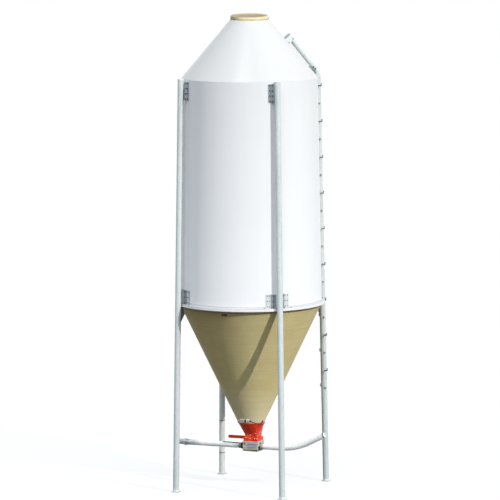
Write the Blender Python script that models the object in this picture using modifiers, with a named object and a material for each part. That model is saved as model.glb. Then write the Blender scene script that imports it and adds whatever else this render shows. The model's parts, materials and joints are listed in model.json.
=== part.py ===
"""Glass-fibre feed silo on four tube legs.

Metres, +Z up. The origin is on the ground under the middle of the tank. X runs along the feed tube
under the outlet box, and the legs stand at the corners of a square whose sides run along X and Y.
"""
import math

import bmesh
import bpy
from mathutils import Matrix, Vector

# Fits
SEAT_GAP = 0.0003
PIN_CLEARANCE = 0.0005
RUNNING_CLEARANCE = 0.005

# Tank shell, from the lip up and down
SHELL_THICKNESS = 0.008
WALL_FOOT_RADIUS = 1.055
WALL_FOOT_HEIGHT = 2.81
WALL_HEIGHT = 3.31
WALL_TAPER = 0.047
LIP_OVERHANG = 0.045
LIP_DEPTH = 0.045
ROOF_HEIGHT = 0.855
HOPPER_HEIGHT = 1.790
HOPPER_OUTLET_RADIUS = 0.198
SHELL_STEPS = 96

# Filler collar and lid
COLLAR_RADIUS = 0.265
COLLAR_THICKNESS = 0.008
COLLAR_HEIGHT = 0.064
COLLAR_FLANGE_WIDTH = 0.021
COLLAR_FLANGE_THICKNESS = 0.004
LID_THICKNESS = 0.005
LID_SIDE_CLEARANCE = 0.010
LID_BEAD_WIDTH = 0.050
LID_BEAD_HEIGHT = 0.010
LID_SHOULDER_RADIUS = 0.022
LID_SHOULDER_STEPS = 4
LID_STEPS = 64

# Lid hinge, a quarter turn from the climbing leg
HINGE_AZIMUTH = math.radians(135)
HINGE_PIN_RADIUS = 0.005
HINGE_PIN_REACH = 0.032
HINGE_EYE_RADIUS = 0.012
HINGE_EYE_STEPS = 8
HINGE_ARM_WIDTH = 0.036
HINGE_ARM_HEIGHT = 0.030
HINGE_CHEEK_THICKNESS = 0.006
HINGE_CHEEK_FOOT = 0.050
PIN_SIDES = 16

# Lid catch
CATCH_AZIMUTH = math.radians(45)
CATCH_WIDTH = 0.030
CATCH_DEPTH = 0.016
CATCH_HEIGHT = 0.015

# Legs, set off from the shoulder and from the lip
LEG_TUBE_RADIUS = 0.04445
LEG_SHOULDER_STANDOFF = 0.0357
LEG_LIP_STANDOFF = 0.0085
LEG_TOP_RISE = 0.010
LEG_SIDES = 32
FOOT_PLATE_SIDE = 0.110
FOOT_PLATE_THICKNESS = 0.012
GUSSET_HEIGHT = 0.280
GUSSET_NOSE_DEPTH = 0.110
GUSSET_THICKNESS = 0.010
GUSSET_TOP_REACH = 0.031
GUSSET_NOSE_REACH = 0.062

# Brackets between wall and leg, with brims on the wall: the lower ones reach out to both sides of
# the leg, and the upper ones to one side
LOWER_BRACKET_HEIGHT = 0.205
LOWER_BRACKET_HALF_WIDTH = 0.178
LOWER_BRACKET_LIFT = 0.004
LOWER_BRIM_WIDTH = 0.072
UPPER_BRACKET_HEIGHT = 0.266
UPPER_BRACKET_HALF_WIDTH = 0.112
UPPER_BRACKET_DROP = 0.030
UPPER_BRIM_WIDTH = 0.040
BRACKET_THICKNESS = 0.006
BRACKET_CROWN_HALF_WIDTH = 0.040

# Climbing pegs on the back right leg, counted down from the shoulder
PEG_SPACING = 0.2675
PEG_COUNT = 18
PEG_TOP_DROP = 0.150
PEG_RADIUS = 0.010
PEG_REACH = 0.135
PEG_BEND = 0.020
PEG_TIP_RISE = 0.040
PEG_SIDES = 8

# Roof rail above the climbing leg, as thick as the leg
RAIL_CLEARANCE = 0.056
RAIL_SPLICE_DROP = 0.035
RAIL_BEND_RADIUS = 0.130
RAIL_BEND_STEPS = 8
RAIL_LENGTH = 0.670
RAIL_PLATE_WIDTH = 0.085
RAIL_PLATE_THICKNESS = 0.010
RAIL_FOOT_LENGTH = 0.095
RAIL_FOOT_WIDTH = 0.060
RAIL_FOOT_SETBACK = 0.085

# How far the gate, the outlet box and the boot's lower end hang to the right of the middle
OUTLET_SHIFT = 0.032

# Transition boot under the discharge cone
BOOT_TOP_LAP = 0.003
BOOT_WALL = 0.005
BOOT_HEIGHT = 0.223
BOOT_TAPER_HEIGHT = 0.175
BOOT_SIDE = 0.190
BOOT_CORNER_POINTS = 10
BAND_HEIGHT = 0.016
BAND_THICKNESS = 0.003

# Gate frame and slide gate
FRAME_HEIGHT = 0.052
FRAME_BORDER = 0.0175
GATE_RISE = 0.037
GATE_THICKNESS = 0.006
GATE_LAP = 0.005
HANDLE_LENGTH = 0.290
HANDLE_HEIGHT = 0.046
HANDLE_THICKNESS = 0.016
HANDLE_GAP = 0.005
HANDLE_END_STEPS = 8

# Outlet box and feed tube
BOX_HEIGHT = 0.150
BOX_BORDER = 0.009
BOX_FLOOR = 0.020
TUBE_RISE = 0.062
TUBE_RADIUS = 0.0425
COUPLING_RADIUS = 0.039
COUPLING_LENGTH = 0.100
FLANGE_RADIUS = 0.058
FLANGE_THICKNESS = 0.014
TUBE_LEVEL_LENGTH = 0.317
ELBOW_RADIUS = 0.980
ELBOW_ANGLE = math.radians(27)
ELBOW_STEPS = 10
TUBE_TAIL_LENGTH = 0.277
TUBE_SIDES = 24

# Radii and heights that follow
SHOULDER_RADIUS = WALL_FOOT_RADIUS - WALL_TAPER
SHOULDER_Z = WALL_FOOT_HEIGHT + WALL_HEIGHT
LIP_RADIUS = WALL_FOOT_RADIUS + LIP_OVERHANG
LIP_BOTTOM_Z = WALL_FOOT_HEIGHT - LIP_DEPTH
ROOF_TOP_RADIUS = COLLAR_RADIUS + COLLAR_FLANGE_WIDTH
ROOF_TOP_Z = SHOULDER_Z + ROOF_HEIGHT
HOPPER_TOP_Z = LIP_BOTTOM_Z - SEAT_GAP
HOPPER_OUTLET_Z = LIP_BOTTOM_Z - HOPPER_HEIGHT
LEG_TOP_Z = SHOULDER_Z + LEG_TOP_RISE
RAIL_SPLICE_Z = SHOULDER_Z - RAIL_SPLICE_DROP
LID_RADIUS = COLLAR_RADIUS + LID_SIDE_CLEARANCE + LID_THICKNESS
LID_BOTTOM_Z = ROOF_TOP_Z + 2 * SEAT_GAP + COLLAR_FLANGE_THICKNESS + RUNNING_CLEARANCE
COLLAR_TOP_Z = ROOF_TOP_Z + SEAT_GAP + COLLAR_HEIGHT
HINGE_PIN_DISTANCE = LID_RADIUS + HINGE_PIN_REACH
BOOT_TOP_RADIUS = HOPPER_OUTLET_RADIUS + BOOT_TOP_LAP
BOOT_TOP_Z = HOPPER_OUTLET_Z - SEAT_GAP
BOOT_WAIST_Z = HOPPER_OUTLET_Z - BOOT_TAPER_HEIGHT
BOOT_BOTTOM_Z = HOPPER_OUTLET_Z - BOOT_HEIGHT
FRAME_TOP_Z = BOOT_BOTTOM_Z - SEAT_GAP
FRAME_BOTTOM_Z = BOOT_BOTTOM_Z - FRAME_HEIGHT
FRAME_SIDE = BOOT_SIDE + 2 * FRAME_BORDER
CHUTE_SIDE = BOOT_SIDE - 2 * BOOT_WALL
GATE_Z = FRAME_BOTTOM_Z + GATE_RISE
GATE_WIDTH = CHUTE_SIDE + 2 * GATE_LAP
BOX_TOP_Z = FRAME_BOTTOM_Z - SEAT_GAP
BOX_BOTTOM_Z = FRAME_BOTTOM_Z - BOX_HEIGHT
BOX_SIDE = FRAME_SIDE + 2 * BOX_BORDER
TUBE_Z = BOX_BOTTOM_Z + TUBE_RISE

# Corners of the leg square and sides of the tank, by azimuth from +X
LEG_AZIMUTHS = {
    "front_left": math.radians(-135),
    "front_right": math.radians(-45),
    "back_right": math.radians(45),
    "back_left": math.radians(135),
}
SIDE_AZIMUTHS = {
    "front": math.radians(-90),
    "right": math.radians(0),
    "back": math.radians(90),
    "left": math.radians(180),
}
CLIMBING_LEG = "back_right"
UPPER_BRACKET_SIDES = {"front_left": (1,), "front_right": (-1,), "back_right": (1,), "back_left": (-1,)}

MERGE_DISTANCE = 0.0001
CUT_MARGIN = 0.05

# Base colour, roughness and metallic of each finish
FINISHES = {
    "white_gelcoat": ((0.86, 0.88, 0.90, 1.0), 0.30, 0.0),
    "tan_resin": ((0.56, 0.46, 0.26, 1.0), 0.45, 0.0),
    "yellow_resin": ((0.70, 0.56, 0.26, 1.0), 0.40, 0.0),
    "galvanised": ((0.60, 0.63, 0.62, 1.0), 0.50, 0.7),
    "dark_steel": ((0.14, 0.14, 0.14, 1.0), 0.55, 0.6),
    "red_paint": ((0.66, 0.06, 0.02, 1.0), 0.35, 0.0),
    "white_tube": ((0.84, 0.85, 0.84, 1.0), 0.35, 0.0),
}


def clear_scene():
    """Removes every object that the file opened with."""
    for item in list(bpy.data.objects):
        bpy.data.objects.remove(item, do_unlink=True)


def new_collection(name):
    """Makes a collection in the scene."""
    collection = bpy.data.collections.new(name)
    bpy.context.scene.collection.children.link(collection)
    return collection


def new_material(name, finish):
    """Makes one Principled material from a named finish."""
    color, roughness, metallic = FINISHES[finish]
    material = bpy.data.materials.new(name)
    material.use_nodes = True
    shader = material.node_tree.nodes["Principled BSDF"]
    shader.inputs["Base Color"].default_value = color
    shader.inputs["Roughness"].default_value = roughness
    shader.inputs["Metallic"].default_value = metallic
    material.diffuse_color = color
    return material


def add_object(name, data, finish, collection, frame=Matrix.Identity(4)):
    """Adds an object of the silo with a material of its own."""
    item = bpy.data.objects.new(name, data)
    collection.objects.link(item)
    item.matrix_world = frame
    data.materials.append(new_material(name + "_finish", finish))
    return item


def add_cutter(name, data, collection, frame=Matrix.Identity(4)):
    """Adds an object that only cuts or joins others."""
    item = bpy.data.objects.new(name, data)
    collection.objects.link(item)
    item.matrix_world = frame
    item.hide_render = True
    item.display_type = "WIRE"
    return item


def add_boolean(item, other, operation):
    """Cuts, joins or intersects an object with another."""
    modifier = item.modifiers.new(operation.lower() + "_" + other.name, "BOOLEAN")
    modifier.object = other
    modifier.operation = operation
    modifier.solver = "EXACT"


def smooth_shading(mesh):
    """Shades a mesh smooth with sharp edges kept."""
    mesh.shade_smooth()
    mesh.set_sharp_from_angle(angle=math.radians(30))


def box_mesh(name, low, high):
    """A box between two corners."""
    mesh = bpy.data.meshes.new(name)
    low = Vector(low)
    high = Vector(high)
    shape = bmesh.new()
    size = Matrix.Diagonal((*(high - low), 1.0))
    bmesh.ops.create_cube(shape, size=1.0, matrix=Matrix.Translation((low + high) / 2) @ size)
    shape.to_mesh(mesh)
    shape.free()
    return mesh


def rod_mesh(name, start, end, radius, sides):
    """A round bar between two points."""
    start = Vector(start)
    end = Vector(end)
    axis = end - start
    turn = axis.to_track_quat("Z", "Y").to_matrix().to_4x4()
    mesh = bpy.data.meshes.new(name)
    shape = bmesh.new()
    bmesh.ops.create_cone(
        shape, cap_ends=True, segments=sides, radius1=radius, radius2=radius, depth=axis.length,
        matrix=Matrix.Translation((start + end) / 2) @ turn)
    shape.to_mesh(mesh)
    shape.free()
    smooth_shading(mesh)
    return mesh


def profile_mesh(name, points, closed):
    """A line of (radius, height) points in the XZ plane, for a Screw modifier."""
    mesh = bpy.data.meshes.new(name)
    shape = bmesh.new()
    corners = [shape.verts.new((radius, 0.0, height)) for radius, height in points]
    for first, second in zip(corners, corners[1:]):
        shape.edges.new((first, second))
    if closed:
        shape.edges.new((corners[-1], corners[0]))
    shape.to_mesh(mesh)
    shape.free()
    return mesh


def add_screw(item, steps):
    """Turns a profile once around Z."""
    modifier = item.modifiers.new("turn", "SCREW")
    modifier.axis = "Z"
    modifier.angle = 2 * math.pi
    modifier.steps = steps
    modifier.render_steps = steps
    modifier.use_merge_vertices = True
    modifier.merge_threshold = MERGE_DISTANCE
    modifier.use_smooth_shade = True


def outline_curve(name, points, thickness):
    """A flat plate with the given outline in its own XY plane, centred on that plane."""
    curve = bpy.data.curves.new(name, "CURVE")
    curve.dimensions = "2D"
    curve.fill_mode = "BOTH"
    curve.extrude = thickness / 2
    spline = curve.splines.new("POLY")
    spline.points.add(len(points) - 1)
    for point, (across, along) in zip(spline.points, points):
        point.co = (across, along, 0.0, 1.0)
    spline.use_cyclic_u = True
    return curve


def tube_curve(name, points, radius, sides):
    """A round tube along a line of points."""
    curve = bpy.data.curves.new(name, "CURVE")
    curve.dimensions = "3D"
    curve.bevel_depth = radius
    curve.bevel_resolution = sides // 2 - 2
    curve.use_fill_caps = True
    spline = curve.splines.new("POLY")
    spline.points.add(len(points) - 1)
    for point, place in zip(spline.points, points):
        point.co = (*place, 1.0)
    return curve


def mesh_from_curve(name, curve, matrix, collection):
    """Makes a welded mesh from a curve and places it in world space."""
    guide = bpy.data.objects.new(name + "_guide", curve)
    collection.objects.link(guide)
    bpy.context.view_layer.update()
    evaluated = guide.evaluated_get(bpy.context.evaluated_depsgraph_get())
    mesh = bpy.data.meshes.new_from_object(evaluated)
    mesh.name = name
    bpy.data.objects.remove(guide, do_unlink=True)
    shape = bmesh.new()
    shape.from_mesh(mesh)
    bmesh.ops.remove_doubles(shape, verts=shape.verts, dist=MERGE_DISTANCE)
    bmesh.ops.recalc_face_normals(shape, faces=shape.faces)
    shape.to_mesh(mesh)
    shape.free()
    mesh.transform(matrix)
    return mesh


def joined_mesh(name, meshes):
    """Puts several meshes into one, without joining their surfaces."""
    shape = bmesh.new()
    for mesh in meshes:
        shape.from_mesh(mesh)
    result = bpy.data.meshes.new(name)
    shape.to_mesh(result)
    shape.free()
    return result


def arc_points(centre, radius, start, end, steps):
    """Points on an arc, both ends counted."""
    points = []
    for step in range(steps + 1):
        angle = start + (end - start) * step / steps
        points.append((centre[0] + radius * math.cos(angle), centre[1] + radius * math.sin(angle)))
    return points


def upright_plane(azimuth, distance=0.0, height=0.0):
    """A frame whose X runs outward at an azimuth, Y up, and Z across."""
    outward = Vector((math.cos(azimuth), math.sin(azimuth), 0.0))
    up = Vector((0.0, 0.0, 1.0))
    across = outward.cross(up)
    matrix = Matrix((outward, up, across)).transposed().to_4x4()
    matrix.translation = outward * distance + up * height
    return matrix


def wall_radius(height):
    """Outer radius of the wall at a height."""
    return WALL_FOOT_RADIUS - WALL_TAPER * (height - WALL_FOOT_HEIGHT) / WALL_HEIGHT


def roof_height(radius):
    """Height of the roof's outer face at a radius."""
    return SHOULDER_Z + ROOF_HEIGHT * (SHOULDER_RADIUS - radius) / (SHOULDER_RADIUS - ROOF_TOP_RADIUS)


def roof_slope():
    """Angle of the roof's face above the level."""
    return math.atan2(ROOF_HEIGHT, SHOULDER_RADIUS - ROOF_TOP_RADIUS)


def leg_lean():
    """How far a leg comes in for each metre of height."""
    at_lip = LIP_RADIUS + LEG_LIP_STANDOFF
    at_shoulder = SHOULDER_RADIUS + LEG_SHOULDER_STANDOFF
    return (at_lip - at_shoulder) / WALL_HEIGHT


def leg_circle(height):
    """Distance of a leg's axis from the middle at a height."""
    at_lip = LIP_RADIUS + LEG_LIP_STANDOFF + LEG_TUBE_RADIUS
    return at_lip - leg_lean() * (height - WALL_FOOT_HEIGHT)


def leg_point(azimuth, height):
    """Point on a leg's axis."""
    distance = leg_circle(height)
    return Vector((distance * math.cos(azimuth), distance * math.sin(azimuth), height))


def hopper_radius(height):
    """Outer radius of the discharge cone at a height."""
    widening = (WALL_FOOT_RADIUS - HOPPER_OUTLET_RADIUS) / (HOPPER_TOP_Z - HOPPER_OUTLET_Z)
    return HOPPER_OUTLET_RADIUS + widening * (height - HOPPER_OUTLET_Z)


def quarter_cutters(collection):
    """One block for each side of the tank, which keeps a quarter of a turned shell."""
    cutters = {}
    for side, azimuth in SIDE_AZIMUTHS.items():
        reach = LIP_RADIUS + CUT_MARGIN
        low = (SEAT_GAP / 2, SEAT_GAP / 2, HOPPER_OUTLET_Z - CUT_MARGIN)
        high = (reach, reach, ROOF_TOP_Z + CUT_MARGIN)
        name = "quarter_cutter_" + side
        mesh = box_mesh(name, low, high)
        mesh.transform(Matrix.Rotation(azimuth - math.radians(45), 4, "Z"))
        cutters[side] = add_cutter(name, mesh, collection)
    return cutters


def shell_quarters(name, points, finish, collection, cutters):
    """Turns a closed shell profile and keeps one quarter of it for each side."""
    for side, cutter in cutters.items():
        part_name = name + "_" + side
        item = add_object(part_name, profile_mesh(part_name, points, True), finish, collection)
        add_screw(item, SHELL_STEPS)
        add_boolean(item, cutter, "INTERSECT")


def make_wall(collection, cutters):
    """Wall of the tank with the lip moulded on its lower edge."""
    points = [
        (SHOULDER_RADIUS, SHOULDER_Z),
        (WALL_FOOT_RADIUS, WALL_FOOT_HEIGHT),
        (LIP_RADIUS, WALL_FOOT_HEIGHT),
        (LIP_RADIUS, LIP_BOTTOM_Z),
        (WALL_FOOT_RADIUS - SHELL_THICKNESS, LIP_BOTTOM_Z),
        (WALL_FOOT_RADIUS - SHELL_THICKNESS, WALL_FOOT_HEIGHT),
        (SHOULDER_RADIUS - SHELL_THICKNESS, SHOULDER_Z),
    ]
    shell_quarters("wall", points, "white_gelcoat", collection, cutters)


def make_roof(collection, cutters):
    """Roof cone, open at the top for the filler."""
    inset = SHELL_THICKNESS / math.sin(roof_slope())
    foot = SHOULDER_Z + SEAT_GAP
    points = [
        (ROOF_TOP_RADIUS, ROOF_TOP_Z),
        (SHOULDER_RADIUS, foot),
        (SHOULDER_RADIUS - inset, foot),
        (ROOF_TOP_RADIUS - inset, ROOF_TOP_Z),
    ]
    shell_quarters("roof", points, "white_gelcoat", collection, cutters)


def make_hopper(collection, cutters):
    """Discharge cone under the lip, open at the bottom."""
    slope = math.atan2(HOPPER_TOP_Z - HOPPER_OUTLET_Z, WALL_FOOT_RADIUS - HOPPER_OUTLET_RADIUS)
    inset = SHELL_THICKNESS / math.sin(slope)
    points = [
        (WALL_FOOT_RADIUS, HOPPER_TOP_Z),
        (HOPPER_OUTLET_RADIUS, HOPPER_OUTLET_Z),
        (HOPPER_OUTLET_RADIUS - inset, HOPPER_OUTLET_Z),
        (WALL_FOOT_RADIUS - inset, HOPPER_TOP_Z),
    ]
    shell_quarters("hopper", points, "tan_resin", collection, cutters)


def make_collar(collection):
    """Filler collar that stands on the roof's upper edge."""
    bottom = ROOF_TOP_Z + SEAT_GAP
    inner = COLLAR_RADIUS - COLLAR_THICKNESS
    flange_top = bottom + COLLAR_FLANGE_THICKNESS
    points = [
        (COLLAR_RADIUS, COLLAR_TOP_Z),
        (COLLAR_RADIUS, flange_top),
        (ROOF_TOP_RADIUS, flange_top),
        (ROOF_TOP_RADIUS, bottom),
        (inner, bottom),
        (inner, COLLAR_TOP_Z),
    ]
    item = add_object("filler_collar", profile_mesh("filler_collar", points, True), "tan_resin", collection)
    add_screw(item, LID_STEPS)


def lid_profile():
    """Outline of the lid from the middle of its dish, over the bead and down the skirt."""
    outer = LID_RADIUS
    bottom = LID_BOTTOM_Z
    under = COLLAR_TOP_Z + SEAT_GAP
    dish = under + LID_THICKNESS
    crown = dish + LID_BEAD_HEIGHT
    bead_inner = outer - LID_BEAD_WIDTH
    points = [(0.0, dish), (bead_inner - LID_BEAD_HEIGHT, dish)]
    points.append((bead_inner, crown - LID_BEAD_HEIGHT / 4))
    points.append((bead_inner + LID_BEAD_HEIGHT / 2, crown))
    centre = (outer - LID_SHOULDER_RADIUS, crown - LID_SHOULDER_RADIUS)
    points += arc_points(centre, LID_SHOULDER_RADIUS, math.pi / 2, 0.0, LID_SHOULDER_STEPS)
    points += [(outer, bottom), (outer - LID_THICKNESS, bottom), (outer - LID_THICKNESS, under), (0.0, under)]
    return points


def make_lid(collection):
    """Dish-shaped lid of the filler."""
    item = add_object("filler_lid", profile_mesh("filler_lid", lid_profile(), False), "yellow_resin", collection)
    add_screw(item, LID_STEPS)


def pin_mesh(name, radius, half_width):
    """A rod on the axis of the lid's hinge, in the plane of the hinge."""
    pin = Vector((HINGE_PIN_DISTANCE, LID_BOTTOM_Z, 0.0))
    across = Vector((0.0, 0.0, half_width))
    return rod_mesh(name, pin - across, pin + across, radius, PIN_SIDES)


def make_hinge(collection, cutters):
    """Hinge cheeks with their pin on the roof, and the arm on the lid."""
    pin = (HINGE_PIN_DISTANCE, LID_BOTTOM_Z)
    cheek_middle = HINGE_ARM_WIDTH / 2 + 2 * PIN_CLEARANCE + HINGE_CHEEK_THICKNESS / 2
    lift = SEAT_GAP / math.cos(roof_slope())
    foot_inner = pin[0] - HINGE_EYE_RADIUS
    foot_outer = foot_inner + HINGE_CHEEK_FOOT
    cheek = [
        (foot_inner, roof_height(foot_inner) + lift),
        (foot_outer, roof_height(foot_outer) + lift),
    ] + arc_points(pin, HINGE_EYE_RADIUS, 0.0, math.pi, HINGE_EYE_STEPS)
    frame = upright_plane(HINGE_AZIMUTH)
    cheeks = []
    for sign in (-1, 1):
        name = "hinge_cheek_" + ("near" if sign > 0 else "far")
        shift = Matrix.Translation((0.0, 0.0, sign * cheek_middle))
        curve = outline_curve(name, cheek, HINGE_CHEEK_THICKNESS)
        cheeks.append(mesh_from_curve(name, curve, shift, collection))
    bracket = add_object("lid_hinge_bracket", cheeks[0], "dark_steel", collection, frame)
    pin_rod = pin_mesh("pin_join", HINGE_PIN_RADIUS, cheek_middle + HINGE_CHEEK_THICKNESS)
    add_boolean(bracket, add_cutter("pin_join", pin_rod, cutters, frame), "UNION")
    add_boolean(bracket, add_cutter("far_cheek_join", cheeks[1], cutters, frame), "UNION")

    start = LID_RADIUS + SEAT_GAP
    arm = [(start, pin[1]), (start, pin[1] + HINGE_ARM_HEIGHT)]
    arm += arc_points(pin, HINGE_EYE_RADIUS, math.pi / 4, -math.pi / 2, HINGE_EYE_STEPS)
    curve = outline_curve("lid_hinge_arm", arm, HINGE_ARM_WIDTH)
    mesh = mesh_from_curve("lid_hinge_arm", curve, Matrix.Identity(4), collection)
    item = add_object("lid_hinge_arm", mesh, "dark_steel", collection, frame)
    bore = pin_mesh("hinge_bore", HINGE_PIN_RADIUS + PIN_CLEARANCE, HINGE_ARM_WIDTH)
    add_boolean(item, add_cutter("hinge_bore", bore, cutters, frame), "DIFFERENCE")


def make_catch(collection):
    """Catch on the roof beside the lid, on the climbing side."""
    inner = max(LID_RADIUS + RUNNING_CLEARANCE, ROOF_TOP_RADIUS + 2 * SEAT_GAP)
    outer = inner + CATCH_DEPTH
    lift = SEAT_GAP / math.cos(roof_slope())
    top = LID_BOTTOM_Z + CATCH_HEIGHT
    points = [
        (inner, top),
        (inner, roof_height(inner) + lift),
        (outer, roof_height(outer) + lift),
        (outer, top),
    ]
    curve = outline_curve("lid_catch", points, CATCH_WIDTH)
    mesh = mesh_from_curve("lid_catch", curve, upright_plane(CATCH_AZIMUTH), collection)
    add_object("lid_catch", mesh, "dark_steel", collection)


def gusset_mesh(name, azimuth, collection):
    """Tapered plate on a leg's inner side, just under the lip."""
    top = LIP_BOTTOM_Z - SEAT_GAP
    middle = top - GUSSET_NOSE_DEPTH
    bottom = top - GUSSET_HEIGHT
    points = [
        (leg_circle(middle), top),
        (leg_circle(top) - LEG_TUBE_RADIUS - GUSSET_TOP_REACH, top),
        (leg_circle(middle) - LEG_TUBE_RADIUS - GUSSET_NOSE_REACH, middle),
        (leg_circle(bottom) - LEG_TUBE_RADIUS / 2, bottom),
    ]
    curve = outline_curve(name, points, GUSSET_THICKNESS)
    return mesh_from_curve(name, curve, upright_plane(azimuth), collection)


def peg_mesh(name, height, direction, collection):
    """One climbing peg with its tip bent up, on a side of the climbing leg."""
    azimuth = LEG_AZIMUTHS[CLIMBING_LEG]
    across = Vector((-math.sin(azimuth), math.cos(azimuth), 0.0)) * direction
    up = Vector((0.0, 0.0, 1.0))
    centre = leg_point(azimuth, height)
    inner_bend = PEG_BEND * (1 - math.sqrt(0.5))
    points = [centre + across * LEG_TUBE_RADIUS / 2]
    points.append(centre + across * (PEG_REACH - PEG_BEND))
    points.append(centre + across * (PEG_REACH - inner_bend) + up * inner_bend)
    points.append(centre + across * PEG_REACH + up * PEG_BEND)
    points.append(centre + across * PEG_REACH + up * PEG_TIP_RISE)
    curve = tube_curve(name, points, PEG_RADIUS, PEG_SIDES)
    return mesh_from_curve(name, curve, Matrix.Identity(4), collection)


def make_legs(collection, cutters):
    """The four legs with their gussets and foot plates, and the pegs on one of them."""
    for corner, azimuth in LEG_AZIMUTHS.items():
        name = "leg_" + corner
        top = RAIL_SPLICE_Z if corner == CLIMBING_LEG else LEG_TOP_Z
        edge_drop = LEG_TUBE_RADIUS * leg_lean()
        foot = FOOT_PLATE_THICKNESS + SEAT_GAP + edge_drop
        mesh = rod_mesh(name, leg_point(azimuth, foot), leg_point(azimuth, top), LEG_TUBE_RADIUS, LEG_SIDES)
        leg = add_object(name, mesh, "galvanised", collection)
        joined = [gusset_mesh("gusset_" + corner, azimuth, collection)]
        if corner == CLIMBING_LEG:
            for step in range(PEG_COUNT):
                height = SHOULDER_Z - PEG_TOP_DROP - step * PEG_SPACING
                direction = 1 if step % 2 else -1
                joined.append(peg_mesh("peg_%02d" % step, height, direction, collection))
        welded = add_cutter("welds_" + corner, joined_mesh("welds_" + corner, joined), cutters)
        add_boolean(leg, welded, "UNION")
        make_foot_plate(corner, azimuth, collection)


def make_foot_plate(corner, azimuth, collection):
    """Square plate under a leg."""
    centre = leg_point(azimuth, 0.0)
    half = FOOT_PLATE_SIDE / 2
    low = (centre.x - half, centre.y - half, 0.0)
    high = (centre.x + half, centre.y + half, FOOT_PLATE_THICKNESS)
    name = "foot_plate_" + corner
    add_object(name, box_mesh(name, low, high), "galvanised", collection)


def bracket_half(wall, crown, half_width, brim_width):
    """Plan of one side of a bracket: its outer and its inner points, from the brim to the crown."""
    brim_angle = math.asin((half_width - brim_width / 2) / wall)
    normal = Vector((math.cos(brim_angle), math.sin(brim_angle)))
    along = Vector((-math.sin(brim_angle), math.cos(brim_angle)))
    inner = normal * (wall + SEAT_GAP)
    outer = inner + normal * BRACKET_THICKNESS
    half_brim = along * (brim_width / 2)
    outside = [outer + half_brim, outer - half_brim, Vector((crown, BRACKET_CROWN_HALF_WIDTH))]
    corner = Vector((crown - BRACKET_THICKNESS, BRACKET_CROWN_HALF_WIDTH - BRACKET_THICKNESS / 2))
    return outside, [inner + half_brim, inner - half_brim, corner]


def bracket_outline(wall, crown, half_width, brim_width, sides):
    """Plan of a bracket: a crown against the leg, and a web and a brim on each of the given sides."""
    outline = []
    for side in (1, -1):
        if side in sides:
            outside, inside = bracket_half(wall, crown, half_width, brim_width)
        else:
            outside = [Vector((crown, BRACKET_CROWN_HALF_WIDTH))]
            inside = [Vector((crown - BRACKET_THICKNESS, BRACKET_CROWN_HALF_WIDTH))]
        half = [Vector((point.x, side * point.y)) for point in inside[::-1] + outside]
        outline += half if side > 0 else half[::-1]
    return outline


def make_bracket(name, azimuth, bottom, height, half_width, brim_width, sides, collection):
    """Bracket between wall and leg, leaning with the wall."""
    middle = bottom + height / 2
    wall = wall_radius(middle)
    lean = math.atan2(WALL_TAPER, WALL_HEIGHT)
    slack = abs(leg_lean() - math.tan(lean)) * height / 2
    crown = leg_circle(middle) - LEG_TUBE_RADIUS - slack - 2 * SEAT_GAP
    outline = bracket_outline(wall, crown, half_width, brim_width, sides)
    points = [(point.x - wall, point.y) for point in outline]
    curve = outline_curve(name, points, height)
    place = Matrix.Rotation(azimuth, 4, "Z") @ Matrix.Translation((wall, 0.0, middle))
    frame = place @ Matrix.Rotation(-lean, 4, "Y")
    mesh = mesh_from_curve(name, curve, frame, collection)
    add_object(name, mesh, "galvanised", collection)


def make_brackets(collection):
    """Lower and upper brackets of every leg."""
    for corner, azimuth in LEG_AZIMUTHS.items():
        make_bracket(
            "lower_bracket_" + corner, azimuth, WALL_FOOT_HEIGHT + LOWER_BRACKET_LIFT, LOWER_BRACKET_HEIGHT,
            LOWER_BRACKET_HALF_WIDTH, LOWER_BRIM_WIDTH, (-1, 1), collection)
        upper_bottom = SHOULDER_Z - UPPER_BRACKET_DROP - UPPER_BRACKET_HEIGHT
        make_bracket(
            "upper_bracket_" + corner, azimuth, upper_bottom, UPPER_BRACKET_HEIGHT,
            UPPER_BRACKET_HALF_WIDTH, UPPER_BRIM_WIDTH, UPPER_BRACKET_SIDES[corner], collection)


def rail_offset():
    """Distance of the roof rail's axis from the roof's face."""
    return RAIL_CLEARANCE + LEG_TUBE_RADIUS


def rail_path():
    """Points of the roof rail in the leg's plane: distance from the middle, and height."""
    slope = roof_slope()
    shift = rail_offset() / math.sin(slope)
    lean = math.atan(leg_lean())
    up_leg = Vector((-math.sin(lean), math.cos(lean)))
    up_roof = Vector((-math.cos(slope), math.sin(slope)))
    start = Vector((leg_circle(RAIL_SPLICE_Z), RAIL_SPLICE_Z)) + up_leg * SEAT_GAP
    roof_point = Vector((ROOF_TOP_RADIUS + shift, ROOF_TOP_Z))
    gap = roof_point - start
    cross = up_leg.x * up_roof.y - up_leg.y * up_roof.x
    corner = start + up_leg * ((gap.x * up_roof.y - gap.y * up_roof.x) / cross)
    turn = math.acos(up_leg.dot(up_roof))
    radius = RAIL_BEND_RADIUS
    tangent = radius * math.tan(turn / 2)
    inward = Vector((-up_leg.y, up_leg.x))
    centre = corner - up_leg * tangent + inward * radius
    points = [start]
    for step in range(RAIL_BEND_STEPS + 1):
        angle = turn * step / RAIL_BEND_STEPS
        points.append(centre - inward * radius * math.cos(angle) + up_leg * radius * math.sin(angle))
    points.append(points[-1] + up_roof * RAIL_LENGTH)
    return points


def roof_frame(azimuth, radius):
    """A frame on the roof's face: X down the slope, Z away from the face."""
    slope = roof_slope()
    turn = Matrix.Rotation(azimuth, 4, "Z")
    place = Matrix.Translation((radius, 0.0, roof_height(radius)))
    return turn @ place @ Matrix.Rotation(slope, 4, "Y")


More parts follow.
